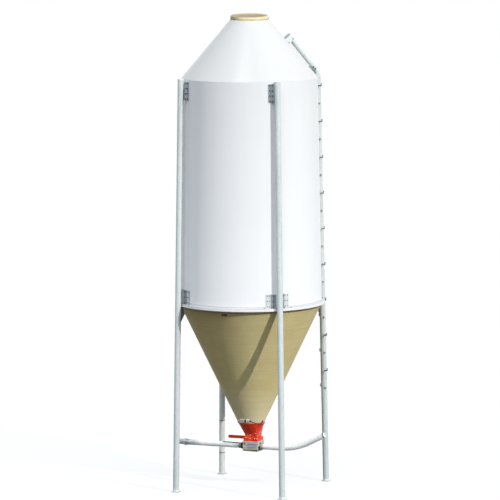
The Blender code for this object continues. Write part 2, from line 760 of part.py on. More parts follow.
def make_rail(collection):
    """Roof rail above the climbing leg, with its upper plate and lower foot."""
    azimuth = LEG_AZIMUTHS[CLIMBING_LEG]
    path = rail_path()
    points = [(point.x * math.cos(azimuth), point.x * math.sin(azimuth), point.y) for point in path]
    curve = tube_curve("roof_rail", points, LEG_TUBE_RADIUS, TUBE_SIDES)
    mesh = mesh_from_curve("roof_rail", curve, Matrix.Identity(4), collection)
    smooth_shading(mesh)
    add_object("roof_rail", mesh, "galvanised", collection)

    slope = roof_slope()
    foot_radius = path[-1].x - rail_offset() * math.sin(slope)
    half = RAIL_PLATE_WIDTH / 2
    low = (-RAIL_PLATE_THICKNESS - SEAT_GAP, -half, 2 * SEAT_GAP)
    high = (-SEAT_GAP, half, rail_offset() + LEG_TUBE_RADIUS / 2)
    plate = box_mesh("rail_top_plate", low, high)
    plate.transform(roof_frame(azimuth, foot_radius))
    add_object("rail_top_plate", plate, "galvanised", collection)

    setback = RAIL_FOOT_SETBACK * math.cos(slope)
    low = (-RAIL_FOOT_LENGTH / 2, -RAIL_FOOT_WIDTH / 2, 2 * SEAT_GAP)
    high = (RAIL_FOOT_LENGTH / 2, RAIL_FOOT_WIDTH / 2, RAIL_CLEARANCE - SEAT_GAP)
    foot = box_mesh("rail_lower_foot", low, high)
    foot.transform(roof_frame(azimuth, SHOULDER_RADIUS - setback))
    add_object("rail_lower_foot", foot, "galvanised", collection)


def square_ring(half, height, count):
    """Points around a square that hangs to the right, on rays that are evenly spread."""
    points = []
    for step in range(count):
        angle = 2 * math.pi * step / count
        reach = half / max(abs(math.cos(angle)), abs(math.sin(angle)))
        points.append((OUTLET_SHIFT + reach * math.cos(angle), reach * math.sin(angle), height))
    return points


def round_ring(radius, height, count):
    """Points around a circle."""
    points = []
    for step in range(count):
        angle = 2 * math.pi * step / count
        points.append((radius * math.cos(angle), radius * math.sin(angle), height))
    return points


def make_boot(collection):
    """Boot from the round end of the discharge cone to the square gate frame, open at both ends."""
    count = 4 * BOOT_CORNER_POINTS
    half = BOOT_SIDE / 2
    rings = [
        round_ring(BOOT_TOP_RADIUS, BOOT_TOP_Z, count),
        square_ring(half, BOOT_WAIST_Z, count),
        square_ring(half, BOOT_BOTTOM_Z, count),
        square_ring(half - BOOT_WALL, BOOT_BOTTOM_Z, count),
        square_ring(half - BOOT_WALL, BOOT_WAIST_Z, count),
        round_ring(BOOT_TOP_RADIUS - BOOT_WALL, BOOT_TOP_Z, count),
    ]
    shape = bmesh.new()
    corners = [[shape.verts.new(point) for point in ring] for ring in rings]
    for upper, lower in zip(corners, corners[1:] + corners[:1]):
        for step in range(count):
            after = (step + 1) % count
            shape.faces.new((upper[step], lower[step], lower[after], upper[after]))
    bmesh.ops.recalc_face_normals(shape, faces=shape.faces)
    mesh = bpy.data.meshes.new("boot")
    shape.to_mesh(mesh)
    shape.free()
    smooth_shading(mesh)
    add_object("boot", mesh, "red_paint", collection)


def make_band(collection):
    """Clamp band around the joint of discharge cone and boot."""
    middle = HOPPER_OUTLET_Z
    top = middle + BAND_HEIGHT / 2
    bottom = middle - BAND_HEIGHT / 2
    inner = hopper_radius(top) + SEAT_GAP
    outer = inner + BAND_THICKNESS
    points = [(outer, top), (outer, bottom), (inner, bottom), (inner, top)]
    item = add_object("boot_band", profile_mesh("boot_band", points, True), "galvanised", collection)
    add_screw(item, LID_STEPS)


def outlet_block(name, left, right, half_depth, bottom, top):
    """A box of the unit under the cone, from its left to its right end, with the unit's shift."""
    return box_mesh(name, (OUTLET_SHIFT + left, -half_depth, bottom), (OUTLET_SHIFT + right, half_depth, top))


def make_gate(collection, cutters):
    """Gate frame under the boot, and the gate that slides in it."""
    half = FRAME_SIDE / 2
    frame = outlet_block("gate_frame", -half, half, half, FRAME_BOTTOM_Z, FRAME_TOP_Z)
    item = add_object("gate_frame", frame, "red_paint", collection)
    chute = CHUTE_SIDE / 2
    cut = outlet_block(
        "chute_cut", -chute, chute, chute, FRAME_BOTTOM_Z - CUT_MARGIN, FRAME_TOP_Z + CUT_MARGIN)
    add_boolean(item, add_cutter("chute_cut", cut, cutters), "DIFFERENCE")
    slot_half = GATE_WIDTH / 2 + PIN_CLEARANCE
    slot_rise = GATE_THICKNESS / 2 + PIN_CLEARANCE
    slot_end = chute + GATE_LAP + PIN_CLEARANCE
    cut = outlet_block(
        "slot_cut", -half - CUT_MARGIN, slot_end, slot_half, GATE_Z - slot_rise, GATE_Z + slot_rise)
    add_boolean(item, add_cutter("slot_cut", cut, cutters), "DIFFERENCE")

    plate = outlet_block(
        "slide_gate", -half - 2 * HANDLE_GAP, chute + GATE_LAP, GATE_WIDTH / 2,
        GATE_Z - GATE_THICKNESS / 2, GATE_Z + GATE_THICKNESS / 2)
    gate = add_object("slide_gate", plate, "red_paint", collection)
    radius = HANDLE_HEIGHT / 2
    handle_start = OUTLET_SHIFT - half - HANDLE_GAP
    tip = handle_start - HANDLE_LENGTH + radius
    points = [(handle_start, GATE_Z - radius), (handle_start, GATE_Z + radius)]
    points += arc_points((tip, GATE_Z), radius, math.pi / 2, 1.5 * math.pi, HANDLE_END_STEPS)
    curve = outline_curve("gate_handle", points, HANDLE_THICKNESS)
    handle = mesh_from_curve("gate_handle", curve, upright_plane(0.0), collection)
    add_boolean(gate, add_cutter("gate_handle", handle, cutters), "UNION")


def make_outlet_box(collection, cutters):
    """Outlet box under the gate frame, open at the top."""
    half = BOX_SIDE / 2
    block = outlet_block("outlet_box", -half, half, half, BOX_BOTTOM_Z, BOX_TOP_Z)
    item = add_object("outlet_box", block, "galvanised", collection)
    chute = CHUTE_SIDE / 2
    cut = outlet_block("box_cut", -chute, chute, chute, BOX_BOTTOM_Z + BOX_FLOOR, BOX_TOP_Z + CUT_MARGIN)
    add_boolean(item, add_cutter("box_cut", cut, cutters), "DIFFERENCE")


def elbow_path(start):
    """Points of the feed tube's right stretch: level, then bent up, then straight."""
    points = [(start, 0.0, TUBE_Z)]
    centre = (start + TUBE_LEVEL_LENGTH, TUBE_Z + ELBOW_RADIUS)
    first = -math.pi / 2
    for across, height in arc_points(centre, ELBOW_RADIUS, first, first + ELBOW_ANGLE, ELBOW_STEPS):
        points.append((across, 0.0, height))
    last = Vector(points[-1])
    along = Vector((math.cos(ELBOW_ANGLE), 0.0, math.sin(ELBOW_ANGLE)))
    points.append(last + along * TUBE_TAIL_LENGTH)
    return points


def make_feed_tube(collection):
    """Couplings on both sides of the outlet box and the two stretches of feed tube."""
    face = BOX_SIDE / 2 + SEAT_GAP
    left_face = OUTLET_SHIFT - face
    left_end = left_face - COUPLING_LENGTH
    left = rod_mesh(
        "coupling_left", (left_end, 0.0, TUBE_Z), (left_face, 0.0, TUBE_Z), COUPLING_RADIUS, TUBE_SIDES)
    add_object("coupling_left", left, "dark_steel", collection)
    right_face = OUTLET_SHIFT + face
    right_end = right_face + FLANGE_THICKNESS
    right = rod_mesh(
        "coupling_right", (right_face, 0.0, TUBE_Z), (right_end, 0.0, TUBE_Z), FLANGE_RADIUS, TUBE_SIDES)
    add_object("coupling_right", right, "galvanised", collection)

    path = elbow_path(right_end + SEAT_GAP)
    curve = tube_curve("feed_tube_right", path, TUBE_RADIUS, TUBE_SIDES)
    mesh = mesh_from_curve("feed_tube_right", curve, Matrix.Identity(4), collection)
    smooth_shading(mesh)
    add_object("feed_tube_right", mesh, "white_tube", collection)
    reach = path[-1][0] + TUBE_RADIUS * math.sin(ELBOW_ANGLE)
    straight = rod_mesh(
        "feed_tube_left", (-reach, 0.0, TUBE_Z), (left_end - SEAT_GAP, 0.0, TUBE_Z), TUBE_RADIUS, TUBE_SIDES)
    add_object("feed_tube_left", straight, "white_tube", collection)


def main():
    """Builds the silo."""
    clear_scene()
    silo = new_collection("polyester_silo")
    cutters = new_collection("cutters")
    quarters = quarter_cutters(cutters)
    make_wall(silo, quarters)
    make_roof(silo, quarters)
    make_hopper(silo, quarters)
    make_collar(silo)
    make_lid(silo)
    make_hinge(silo, cutters)
    make_catch(silo)
    make_legs(silo, cutters)
    make_brackets(silo)
    make_rail(silo)
    make_boot(silo)
    make_band(silo)
    make_gate(silo, cutters)
    make_outlet_box(silo, cutters)
    make_feed_tube(silo)


main()
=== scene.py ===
"""Looks of the glass-fibre feed silo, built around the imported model.

Metres, +Z up, in the part's own frame. Azimuths run from -Y towards +X, as the camera's does.
"""

import json
import math

import bmesh
import bpy
from mathutils import Matrix, Vector
from mathutils.bvhtree import BVHTree

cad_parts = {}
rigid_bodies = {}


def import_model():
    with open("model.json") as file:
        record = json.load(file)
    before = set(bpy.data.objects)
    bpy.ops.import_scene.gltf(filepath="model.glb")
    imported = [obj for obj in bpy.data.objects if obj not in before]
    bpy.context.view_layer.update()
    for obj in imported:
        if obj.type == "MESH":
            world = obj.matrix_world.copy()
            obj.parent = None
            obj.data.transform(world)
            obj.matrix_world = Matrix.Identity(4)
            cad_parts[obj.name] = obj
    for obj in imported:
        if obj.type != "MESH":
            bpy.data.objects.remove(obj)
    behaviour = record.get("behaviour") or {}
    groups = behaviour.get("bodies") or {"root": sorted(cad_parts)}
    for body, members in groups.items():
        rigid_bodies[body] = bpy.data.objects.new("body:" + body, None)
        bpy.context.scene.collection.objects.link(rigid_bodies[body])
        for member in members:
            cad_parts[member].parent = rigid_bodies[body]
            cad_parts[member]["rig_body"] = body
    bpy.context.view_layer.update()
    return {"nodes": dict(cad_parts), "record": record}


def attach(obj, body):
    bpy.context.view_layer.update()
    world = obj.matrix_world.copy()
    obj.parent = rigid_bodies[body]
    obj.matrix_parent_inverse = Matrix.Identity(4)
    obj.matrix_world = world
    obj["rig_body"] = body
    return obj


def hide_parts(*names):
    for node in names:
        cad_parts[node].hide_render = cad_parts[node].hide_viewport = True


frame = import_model()

# Camera
CAMERA_AZIMUTH = math.radians(23.23)
CAMERA_ELEVATION = math.radians(6.60)
CAMERA_ROLL = math.radians(-0.282)
CAMERA_DISTANCE = 60.0
CAMERA_TARGET = Vector((-0.0059, -0.0025, 3.5546))
CAMERA_RIGHT = (math.cos(CAMERA_AZIMUTH), math.sin(CAMERA_AZIMUTH), 0.0)
CAMERA_REACH = 400.0
FOCAL_PIXELS = 4042.6
IMAGE_PIXELS = 500

# Sun, soft fill, sky from the horizon up, and floor
WHITE = (1.0, 1.0, 1.0)
SUN_AZIMUTH = math.radians(67.5)
SUN_ELEVATION = math.radians(30)
SUN_LEVEL = 0.73
SUN_SOFTNESS = math.radians(0.8)
SUN_COLOR = (1.0, 0.965, 0.93)
FILL_AZIMUTH = math.radians(2)
FILL_ELEVATION = math.radians(58)
FILL_LEVEL = 0.27
FILL_SOFTNESS = math.radians(30)
FILL_COLOR = WHITE
SKY_LEVEL_LOW = 0.16
SKY_LEVEL_HIGH = 2.3
SKY_LEVEL_SHADY_SIDE = 0.45
SKY_COLOR = (0.76, 0.88, 0.97)
FLOOR_COLOR = (0.70, 0.70, 0.70)
FLOOR_SHADOW_SHARE = 0.25
FLOOR_RADIUS = 60.0
FLOOR_DROP = 0.001
FLOOR_STEPS = 128
GROUND_COLOR = (0.02, 0.009, 0.003)

# Tank
SHELL_THICKNESS = 0.008
SHELL_STEPS = 192
WALL_FOOT_RADIUS = 1.055
WALL_FOOT_HEIGHT = 2.81
SHOULDER_RADIUS = 1.008
SHOULDER_HEIGHT = 6.12
LIP_RADIUS = 1.10
LIP_DEPTH = 0.045
LIP_TOP_REACH = 0.03
LIP_BOLT_INSET = 0.016
ROOF_TOP_RADIUS = 0.286
ROOF_TOP_HEIGHT = 6.975
HOPPER_TOP_HEIGHT = 2.7647
HOPPER_OUTLET_RADIUS = 0.198
HOPPER_OUTLET_HEIGHT = 0.975

# Points of the lip's section, as steps outward and up from the wall's foot and from the lip's two edges
LIP_FILLET_RISE = 0.022
LIP_FILLET = ((0.003, 0.010), (0.010, 0.002), (0.020, 0.0))
LIP_UPPER_EDGE = ((-0.004, 0.0), (-0.001, -0.0015), (0.0, -0.005))
LIP_LOWER_EDGE = ((0.0, 0.004), (-0.003, 0.0))

# Gap over the shoulder, and the roof's edge as a step outward and up from it
SEAM_GAP = 0.0003
ROOF_EDGE = (-0.0005, 0.0010)

# Legs, brackets and pegs
LEG_RADIUS = 0.04445
LEG_CIRCLE_AT_LIP = 1.15295
LEG_LEAN = 0.0195770
LEG_CORNERS = {"front_left": -45, "front_right": 45, "back_right": 135, "back_left": 225}
LEG_RING_HEIGHTS = {"upper": 0.826, "lower": 0.328}
LEG_RING_LENGTH = 0.010
LEG_RING_WALL = 0.002
GUSSET_FOOT_HEIGHT = 2.44
OFF_TUBE = 1.03
FOOT_WELD_HEIGHT = 0.0125
FOOT_WELD_LENGTH = 0.020
FOOT_WELD_SPREAD = 0.009
FOOT_WELD_TOP = 0.001
LOWER_BRACKET_MIDDLE = 2.9165
UPPER_BRACKET_MIDDLE = 5.957
BEYOND_LEGS = 1.6
PEG_COUNT = 18
PEG_SPACING = 0.2675
PEG_TOP_DROP = 0.150

# Feed tube, its rings and its couplings
TUBE_HEIGHT = 0.612
TUBE_RADIUS = 0.0425
TUBE_END = (1.17682, 0.0, 0.84457)
TUBE_TAIL_ANGLE = math.radians(27)
TUBE_OVERLAP = 0.001
SADDLE_X = -1.080
SADDLE_RADIUS = 0.055
SADDLE_LENGTH = 0.060
END_RING_SETBACK = 0.014
END_RING_WALL = 0.004
END_RING_LENGTH = 0.012
COUPLING_BORE = 0.038
COUPLING_RING_X = -0.155
COUPLING_RING_RADIUS = 0.050
COUPLING_RING_LENGTH = 0.030
COUPLING_SLEEVE_X = -0.1895
COUPLING_SLEEVE_LENGTH = 0.034
FLANGE_BOSS_X = 0.1675
FLANGE_BOSS_BORE = 0.040
FLANGE_BOSS_RADIUS = 0.050
FLANGE_BOSS_END_RADIUS = 0.046
FLANGE_BOSS_LENGTH = 0.022

# Faces of the cheeks at the rail's end, from the rail's middle
CHEEK_INNER = 0.0432
CHEEK_OUTER = 0.0475

# Filler and lid
LID_RADIUS = 0.280
DISH_RADIUS = 0.224
FILLER_FOOT_HEIGHT = 6.9846
FILLER_RISE = 0.070
FILLER_LEAN = 0.054

# Widths across flats of the bolts
BRIM_BOLT = 0.013
WEB_BOLT = 0.016
UPPER_BRACKET_BOLT = 0.018
LIP_BOLT = 0.015
PEG_NUT = 0.024
RIVET = 0.010
BOX_BOLT = 0.020
RAIL_END_BOLT = 0.013
RAIL_BOLT = 0.018

# Turn from one bolt to the next
BOLT_TURN = 0.7

# Stages of a bolt: sides, then lower and upper radius, depth and middle as shares of its width across flats
BOLT_WASHER = (20, 0.68, 0.68 * 0.96, 0.12, 0.06)
BOLT_HEAD = (6, 1 / math.sqrt(3), 1 / math.sqrt(3), 0.46, 0.32)
BOLT_END = (12, 0.48, 0.38, 0.10, 0.59)

# What counts as a sharp edge, in degrees, and as a flat face
SHARP_ANGLE = 35.0
SHARP_ANGLE_OF_PLATES = 30.0
SHARP_ANGLE_OF_TUBES = 50.0
SHARP_ANGLE_OF_LID = 60.0
SHARP_ANGLE_OF_BOOT = 28.0
FLAT_ANGLE = math.radians(0.4)
WELD_DISTANCE = 0.00002

# How far a face's normal may or must point along a direction, from 0 to 1
UPRIGHT_BELOW = 0.5
WEB_BELOW = 0.9
DISH_ABOVE = 0.85
LIP_TOP_ABOVE = 0.2

# Widths of eased edges
EASE_HINGE = 0.0006
EASE_BAND = 0.0008
EASE_CATCH = 0.001
EASE_BRACKET = 0.0012
EASE_PLATE = 0.0015
EASE_BLOCK = 0.002

# Make of the added pieces
PLATE_SUNK = 0.002
BAR_RESOLUTION = 2
SLEEVE_STEPS = 48
BEARING_STEPS = 24


def outward(azimuth):
    """Level direction at an azimuth."""
    return Vector((math.sin(azimuth), -math.cos(azimuth), 0.0))


def direction(azimuth, elevation):
    """Direction at an azimuth and an elevation."""
    return outward(azimuth) * math.cos(elevation) + Vector((0.0, 0.0, math.sin(elevation)))


def wall_radius(height):
    """Outer radius of the wall at a height."""
    share = (height - WALL_FOOT_HEIGHT) / (SHOULDER_HEIGHT - WALL_FOOT_HEIGHT)
    return WALL_FOOT_RADIUS + share * (SHOULDER_RADIUS - WALL_FOOT_RADIUS)


def leg_point(azimuth, height):
    """Point on a leg's axis."""
    distance = LEG_CIRCLE_AT_LIP - LEG_LEAN * (height - WALL_FOOT_HEIGHT)
    return outward(azimuth) * distance + Vector((0.0, 0.0, height))


def roof_slope():
    """Angle of the roof above level."""
    return math.atan2(ROOF_TOP_HEIGHT - SHOULDER_HEIGHT, SHOULDER_RADIUS - ROOF_TOP_RADIUS)


# Node trees

def add_node(tree, kind, inputs=None, **settings):
    """Adds a node; an input that is a socket gets linked."""
    node = tree.nodes.new(kind)
    for key, value in settings.items():
        setattr(node, key, value)
    for key, value in (inputs or {}).items():
        if isinstance(value, bpy.types.NodeSocket):
            tree.links.new(value, node.inputs[key])
        else:
            node.inputs[key].default_value = value
    return node


def place(tree, scale=(1.0, 1.0, 1.0)):
    """Object coordinates, stretched."""
    coordinates = add_node(tree, "ShaderNodeTexCoord")
    inputs = {"Vector": coordinates.outputs["Object"], "Scale": scale}
    return add_node(tree, "ShaderNodeMapping", inputs).outputs[0]


def noise(tree, vector, scale, detail=3.0, roughness=0.55):
    """Noise value from 0 to 1."""
    inputs = {"Vector": vector, "Scale": scale, "Detail": detail, "Roughness": roughness}
    return add_node(tree, "ShaderNodeTexNoise", inputs).outputs["Fac"]


def ramp(tree, value, low, high, start=0.0, end=1.0):
    """Maps a value from one range to another, held at the ends."""
    inputs = {"Value": value, "From Min": low, "From Max": high, "To Min": start, "To Max": end}
    return add_node(tree, "ShaderNodeMapRange", inputs).outputs[0]


def blend(tree, factor, first, second):
    """Mixes two colours."""
    node = add_node(tree, "ShaderNodeMix", data_type="RGBA")
    for index, value in ((0, factor), (6, first), (7, second)):
        if isinstance(value, bpy.types.NodeSocket):
            tree.links.new(value, node.inputs[index])
        elif index == 0:
            node.inputs[index].default_value = value
        else:
            node.inputs[index].default_value = (*value, 1.0)
    return node.outputs[2]


def multiply(tree, first, second):
    """Product of two values."""
    return add_node(tree, "ShaderNodeMath", {0: first, 1: second}, operation="MULTIPLY").outputs[0]


def height_of(tree):
    """Height above the ground."""
    coordinates = add_node(tree, "ShaderNodeTexCoord")
    split = add_node(tree, "ShaderNodeSeparateXYZ", {"Vector": coordinates.outputs["Object"]})
    return split.outputs["Z"]


def along_of(tree):
    """Distance to the right of the middle."""
    coordinates = add_node(tree, "ShaderNodeTexCoord")
    split = add_node(tree, "ShaderNodeSeparateXYZ", {"Vector": coordinates.outputs["Object"]})
    return split.outputs["X"]


def across_of(tree):
    """Distance to the right of the middle, as the camera looks."""
    coordinates = add_node(tree, "ShaderNodeTexCoord")
    inputs = {0: coordinates.outputs["Object"], 1: CAMERA_RIGHT}
    return add_node(tree, "ShaderNodeVectorMath", inputs, operation="DOT_PRODUCT").outputs["Value"]


def radius_of(tree):
    """Distance from the silo's axis."""
    flat = place(tree, (1.0, 1.0, 0.0))
    return add_node(tree, "ShaderNodeVectorMath", {0: flat}, operation="LENGTH").outputs["Value"]


def place_around(tree, around, along):
    """Coordinates that turn with the direction from the axis and hardly change down a slope."""
    flat = place(tree, (1.0, 1.0, 0.0))
    turn = add_node(tree, "ShaderNodeVectorMath", {0: flat}, operation="NORMALIZE").outputs[0]
    turn = add_node(tree, "ShaderNodeVectorMath", {0: turn, "Scale": around}, operation="SCALE").outputs[0]
    rise = place(tree, (0.0, 0.0, along))
    return add_node(tree, "ShaderNodeVectorMath", {0: turn, 1: rise}, operation="ADD").outputs[0]


def bumps(tree, value, distance, normal=None):
    """Bump of a height in metres."""
    inputs = {"Strength": 1.0, "Distance": distance, "Height": value}
    if normal is not None:
        inputs["Normal"] = normal
    return add_node(tree, "ShaderNodeBump", inputs).outputs["Normal"]


def new_material(name, color, roughness, metallic=0.0, gloss=0.3, coat=0.0):
    """A Principled material, and its tree and shader."""
    material = bpy.data.materials.new(name)
    material.use_nodes = True
    tree = material.node_tree
    shader = tree.nodes["Principled BSDF"]
    shader.inputs["Base Color"].default_value = (*color, 1.0)
    shader.inputs["Roughness"].default_value = roughness
    shader.inputs["Metallic"].default_value = metallic
    shader.inputs["Specular IOR Level"].default_value = gloss
    shader.inputs["Coat Weight"].default_value = coat
    material.diffuse_color = (*color, 1.0)
    return material, tree, shader


def feed(tree, shader, color=None, roughness=None, normal=None):
    """Links what varies over a surface to its shader."""
    for name, socket in (("Base Color", color), ("Roughness", roughness), ("Normal", normal)):
        if socket is not None:
            tree.links.new(socket, shader.inputs[name])


# Materials

def make_gelcoat(name, light, dark):
    """White gelcoat with faint rain streaks and the waves of hand work."""
    material, tree, shader = new_material(name, light, 0.16, gloss=0.35)
    cloud = noise(tree, place(tree), 0.8)
    streak = noise(tree, place_around(tree, 9.0, 0.2), 1.6, 3.0)
    color = blend(tree, ramp(tree, cloud, 0.3, 0.7, 0.0, 0.25), light, dark)
    color = blend(tree, ramp(tree, streak, 0.5, 0.8, 0.0, 0.3), color, dark)
    peel = noise(tree, place(tree), 55.0, 2.0)
    wave = noise(tree, place(tree, (1.0, 1.0, 0.5)), 3.0, 2.0)
    normal = bumps(tree, wave, 0.002, bumps(tree, peel, 0.0003))
    feed(tree, shader, color, ramp(tree, cloud, 0.3, 0.7, 0.10, 0.20), normal)
    return material


def make_wound_resin():
    """Bare wound glass fibre: tan, with fine level lines, and painted shade darkening its left side as the
    camera looks.
    """
    material, tree, shader = new_material("tan_resin", (0.76, 0.63, 0.30), 0.55, gloss=0.04)
    lines = noise(tree, place(tree, (0.6, 0.6, 26.0)), 2.2, 4.0, 0.6)
    fine = noise(tree, place(tree, (2.0, 2.0, 120.0)), 2.0, 2.0)
    cloud = noise(tree, place(tree), 2.4, 4.0)
    color = blend(tree, ramp(tree, cloud, 0.3, 0.7), (0.79, 0.66, 0.31), (0.88, 0.77, 0.41))
    color = blend(tree, ramp(tree, lines, 0.35, 0.7, 0.0, 0.4), color, (0.66, 0.53, 0.24))
    color = blend(tree, ramp(tree, fine, 0.45, 0.75, 0.0, 0.25), color, (0.90, 0.81, 0.49))
    # Painted shade: darker brown towards the left side, as the camera looks.
    painted_shade_left = ramp(tree, across_of(tree), -0.75, 0.0, 0.5, 0.0)
    color = blend(tree, painted_shade_left, color, (0.46, 0.32, 0.13))
    color = blend(tree, ramp(tree, height_of(tree), 1.55, 1.0, 0.0, 0.6), color, (0.97, 0.87, 0.60))
    torn = multiply(tree, noise(tree, place(tree), 14.0), 0.12)
    inputs = {0: height_of(tree), 1: torn}
    height = add_node(tree, "ShaderNodeMath", inputs, operation="SUBTRACT").outputs[0]
    color = blend(tree, ramp(tree, height, 0.945, 0.985, 0.85, 0.0), color, (0.84, 0.80, 0.62))
    normal = bumps(tree, lines, 0.004, bumps(tree, fine, 0.0012))
    feed(tree, shader, color, ramp(tree, lines, 0.3, 0.7, 0.38, 0.55), normal)
    return material


def make_moulded_resin():
    """Bare moulded glass fibre: translucent yellow, brown where the dark filler shows through, and painted
    shade on its left end as the camera looks.
    """
    material, tree, shader = new_material("yellow_resin", (0.74, 0.64, 0.34), 0.30, gloss=0.2)
    mottle = noise(tree, place(tree), 16.0, 4.0)
    color = blend(tree, ramp(tree, mottle, 0.3, 0.7), (0.64, 0.53, 0.28), (0.84, 0.78, 0.52))
    facing = add_node(tree, "ShaderNodeNewGeometry").outputs["Normal"]
    upward = add_node(tree, "ShaderNodeSeparateXYZ", {"Vector": facing}).outputs["Z"]
    color = blend(tree, ramp(tree, upward, 0.2, 0.8, 0.0, 0.85), color, (0.36, 0.25, 0.11))
    # Painted shade: darker brown at the left end, as the camera looks.
    painted_shade_left_end = ramp(tree, across_of(tree), -0.27, -0.12, 0.9, 0.0)
    color = blend(tree, painted_shade_left_end, color, (0.28, 0.21, 0.13))
    normal = bumps(tree, noise(tree, place(tree), 30.0), 0.0015)
    feed(tree, shader, color, ramp(tree, mottle, 0.3, 0.7, 0.25, 0.45), normal)
    return material


def make_dish_resin():
    """Rough brown inside of the lid's dish."""
    material, tree, shader = new_material("dish_resin", (0.38, 0.31, 0.21), 0.9, gloss=0.0)
    mottle = noise(tree, place(tree), 24.0, 4.0)
    color = blend(tree, ramp(tree, mottle, 0.35, 0.65), (0.21, 0.17, 0.12), (0.33, 0.27, 0.19))
    feed(tree, shader, color, None, bumps(tree, mottle, 0.003))
    return material


def make_zinc(name, light, dark, darker_below=0.40):
    """Dull hot-dip zinc with its spangle, darker from 2.7 m down towards the ground."""
    material, tree, shader = new_material(name, light, 0.48, gloss=0.05)
    inputs = {"Vector": place(tree), "Scale": 55.0}
    spangle = add_node(tree, "ShaderNodeTexVoronoi", inputs).outputs["Color"]
    tone = add_node(tree, "ShaderNodeSeparateColor", {"Color": spangle}).outputs[0]
    drift = noise(tree, place(tree, (3.0, 3.0, 0.7)), 3.0, 5.0)
    color = blend(tree, ramp(tree, tone, 0.0, 1.0, 0.0, 0.35), light, dark)
    color = blend(tree, ramp(tree, drift, 0.45, 0.75, 0.0, 0.55), color, dark)
    # Darker from 2.7 m down towards the ground.
    color = blend(tree, ramp(tree, height_of(tree), 2.7, 0.6, 0.0, darker_below), color, dark)
    normal = bumps(tree, noise(tree, place(tree), 90.0), 0.0004)
    feed(tree, shader, color, ramp(tree, tone, 0.0, 1.0, 0.40, 0.56), normal)
    return material


def make_dark_steel(name, color, stain, roughness=0.6):
    """Weathered steel or rubber with brown stains."""
    material, tree, shader = new_material(name, color, roughness, metallic=0.2)
    rust = noise(tree, place(tree), 34.0, 5.0)
    mixed = blend(tree, ramp(tree, rust, 0.45, 0.68), color, stain)
    feed(tree, shader, mixed, ramp(tree, rust, 0.3, 0.7, 0.45, 0.75), bumps(tree, rust, 0.0008))
    return material


def make_red_paint():
    """Glossy red paint, faded in places and chipped low down."""
    material, tree, shader = new_material("red_paint", (0.72, 0.035, 0.008), 0.36, gloss=0.16)
    fade = noise(tree, place(tree), 9.0, 4.0)
    color = blend(tree, ramp(tree, fade, 0.35, 0.75), (0.70, 0.024, 0.003), (0.82, 0.075, 0.018))
    chip = ramp(tree, noise(tree, place(tree), 60.0, 2.0), 0.66, 0.69)
    low = ramp(tree, height_of(tree), 0.80, 0.87, 1.0, 0.0)
    color = blend(tree, multiply(tree, chip, low), color, (0.72, 0.62, 0.52))
    dents = noise(tree, place(tree), 12.0, 2.0)
    feed(tree, shader, color, ramp(tree, fade, 0.3, 0.7, 0.25, 0.42), bumps(tree, dents, 0.003))
    return material


def make_tube_plastic():
    """Smooth white tube with grey smudges, and painted shade in a bluish patch near the left leg."""
    material, tree, shader = new_material("white_tube", (0.84, 0.85, 0.84), 0.25, gloss=0.9, coat=0.7)
    shader.inputs["Subsurface Weight"].default_value = 0.9
    shader.inputs["Subsurface Radius"].default_value = (1.0, 1.0, 1.0)
    shader.inputs["Subsurface Scale"].default_value = 0.10
    smudge = noise(tree, place(tree, (2.0, 9.0, 9.0)), 2.0, 4.0)
    color = blend(tree, ramp(tree, smudge, 0.5, 0.75, 0.0, 0.4), (0.84, 0.85, 0.84), (0.60, 0.62, 0.65))
    # Painted shade: a bluish grey patch near the left leg, within the smudges.
    painted_shade_patch = multiply(tree, ramp(tree, along_of(tree), -0.93, -0.80, 1.0, 0.0), ramp(tree, smudge, 0.36, 0.5))
    color = blend(tree, painted_shade_patch, color, (0.37, 0.395, 0.43))
    normal = bumps(tree, noise(tree, place(tree), 22.0), 0.0008)
    feed(tree, shader, color, ramp(tree, smudge, 0.3, 0.8, 0.2, 0.4), normal)
    return material


def white_seen(tree):
    """1 for the rays that see the background directly, in gloss or through glass."""
    path = add_node(tree, "ShaderNodeLightPath")
    seen = path.outputs["Is Camera Ray"]
    for name in ("Is Glossy Ray", "Is Transmission Ray"):
        inputs = {0: seen, 1: path.outputs[name]}
        seen = add_node(tree, "ShaderNodeMath", inputs, operation="MAXIMUM").outputs[0]
    return seen


def make_floor_material():
    """White floor that keeps a faint shadow, and throws back no more light than bare ground."""
    material = bpy.data.materials.new("pale_floor")
    material.use_nodes = True
    tree = material.node_tree
    tree.nodes.clear()
    pale = add_node(tree, "ShaderNodeBsdfDiffuse", {"Color": (*FLOOR_COLOR, 1.0)})
    ground = add_node(tree, "ShaderNodeBsdfDiffuse", {"Color": (*GROUND_COLOR, 1.0)})
    white = add_node(tree, "ShaderNodeEmission", {"Strength": 1.0})
    fade = ramp(tree, radius_of(tree), 1.5, 9.0, 1.0 - FLOOR_SHADOW_SHARE, 1.0)
    shown = add_node(tree, "ShaderNodeMixShader", {0: fade, 1: pale.outputs[0], 2: white.outputs[0]})
    inputs = {0: white_seen(tree), 1: ground.outputs[0], 2: shown.outputs[0]}
    mixed = add_node(tree, "ShaderNodeMixShader", inputs)
    add_node(tree, "ShaderNodeOutputMaterial", {"Surface": mixed.outputs[0]})
    return material


gelcoat = make_gelcoat("white_gelcoat", (0.81, 0.80, 0.80), (0.73, 0.735, 0.75))
# Painted shade: a darker copy of the gelcoat for the faces on top of the lip.
lip_painted_shade_gelcoat = make_gelcoat("lip_painted_shade_gelcoat", (0.50, 0.50, 0.50), (0.44, 0.44, 0.45))
# Painted shade: a darker copy of the gelcoat for the roof, which faces the sky and takes more light.
roof_painted_shade_gelcoat = make_gelcoat("roof_painted_shade_gelcoat", (0.56, 0.54, 0.525), (0.52, 0.505, 0.50))
wound_resin = make_wound_resin()
moulded_resin = make_moulded_resin()
dish_resin = make_dish_resin()
zinc = make_zinc("galvanised", (0.72, 0.755, 0.745), (0.48, 0.52, 0.52))
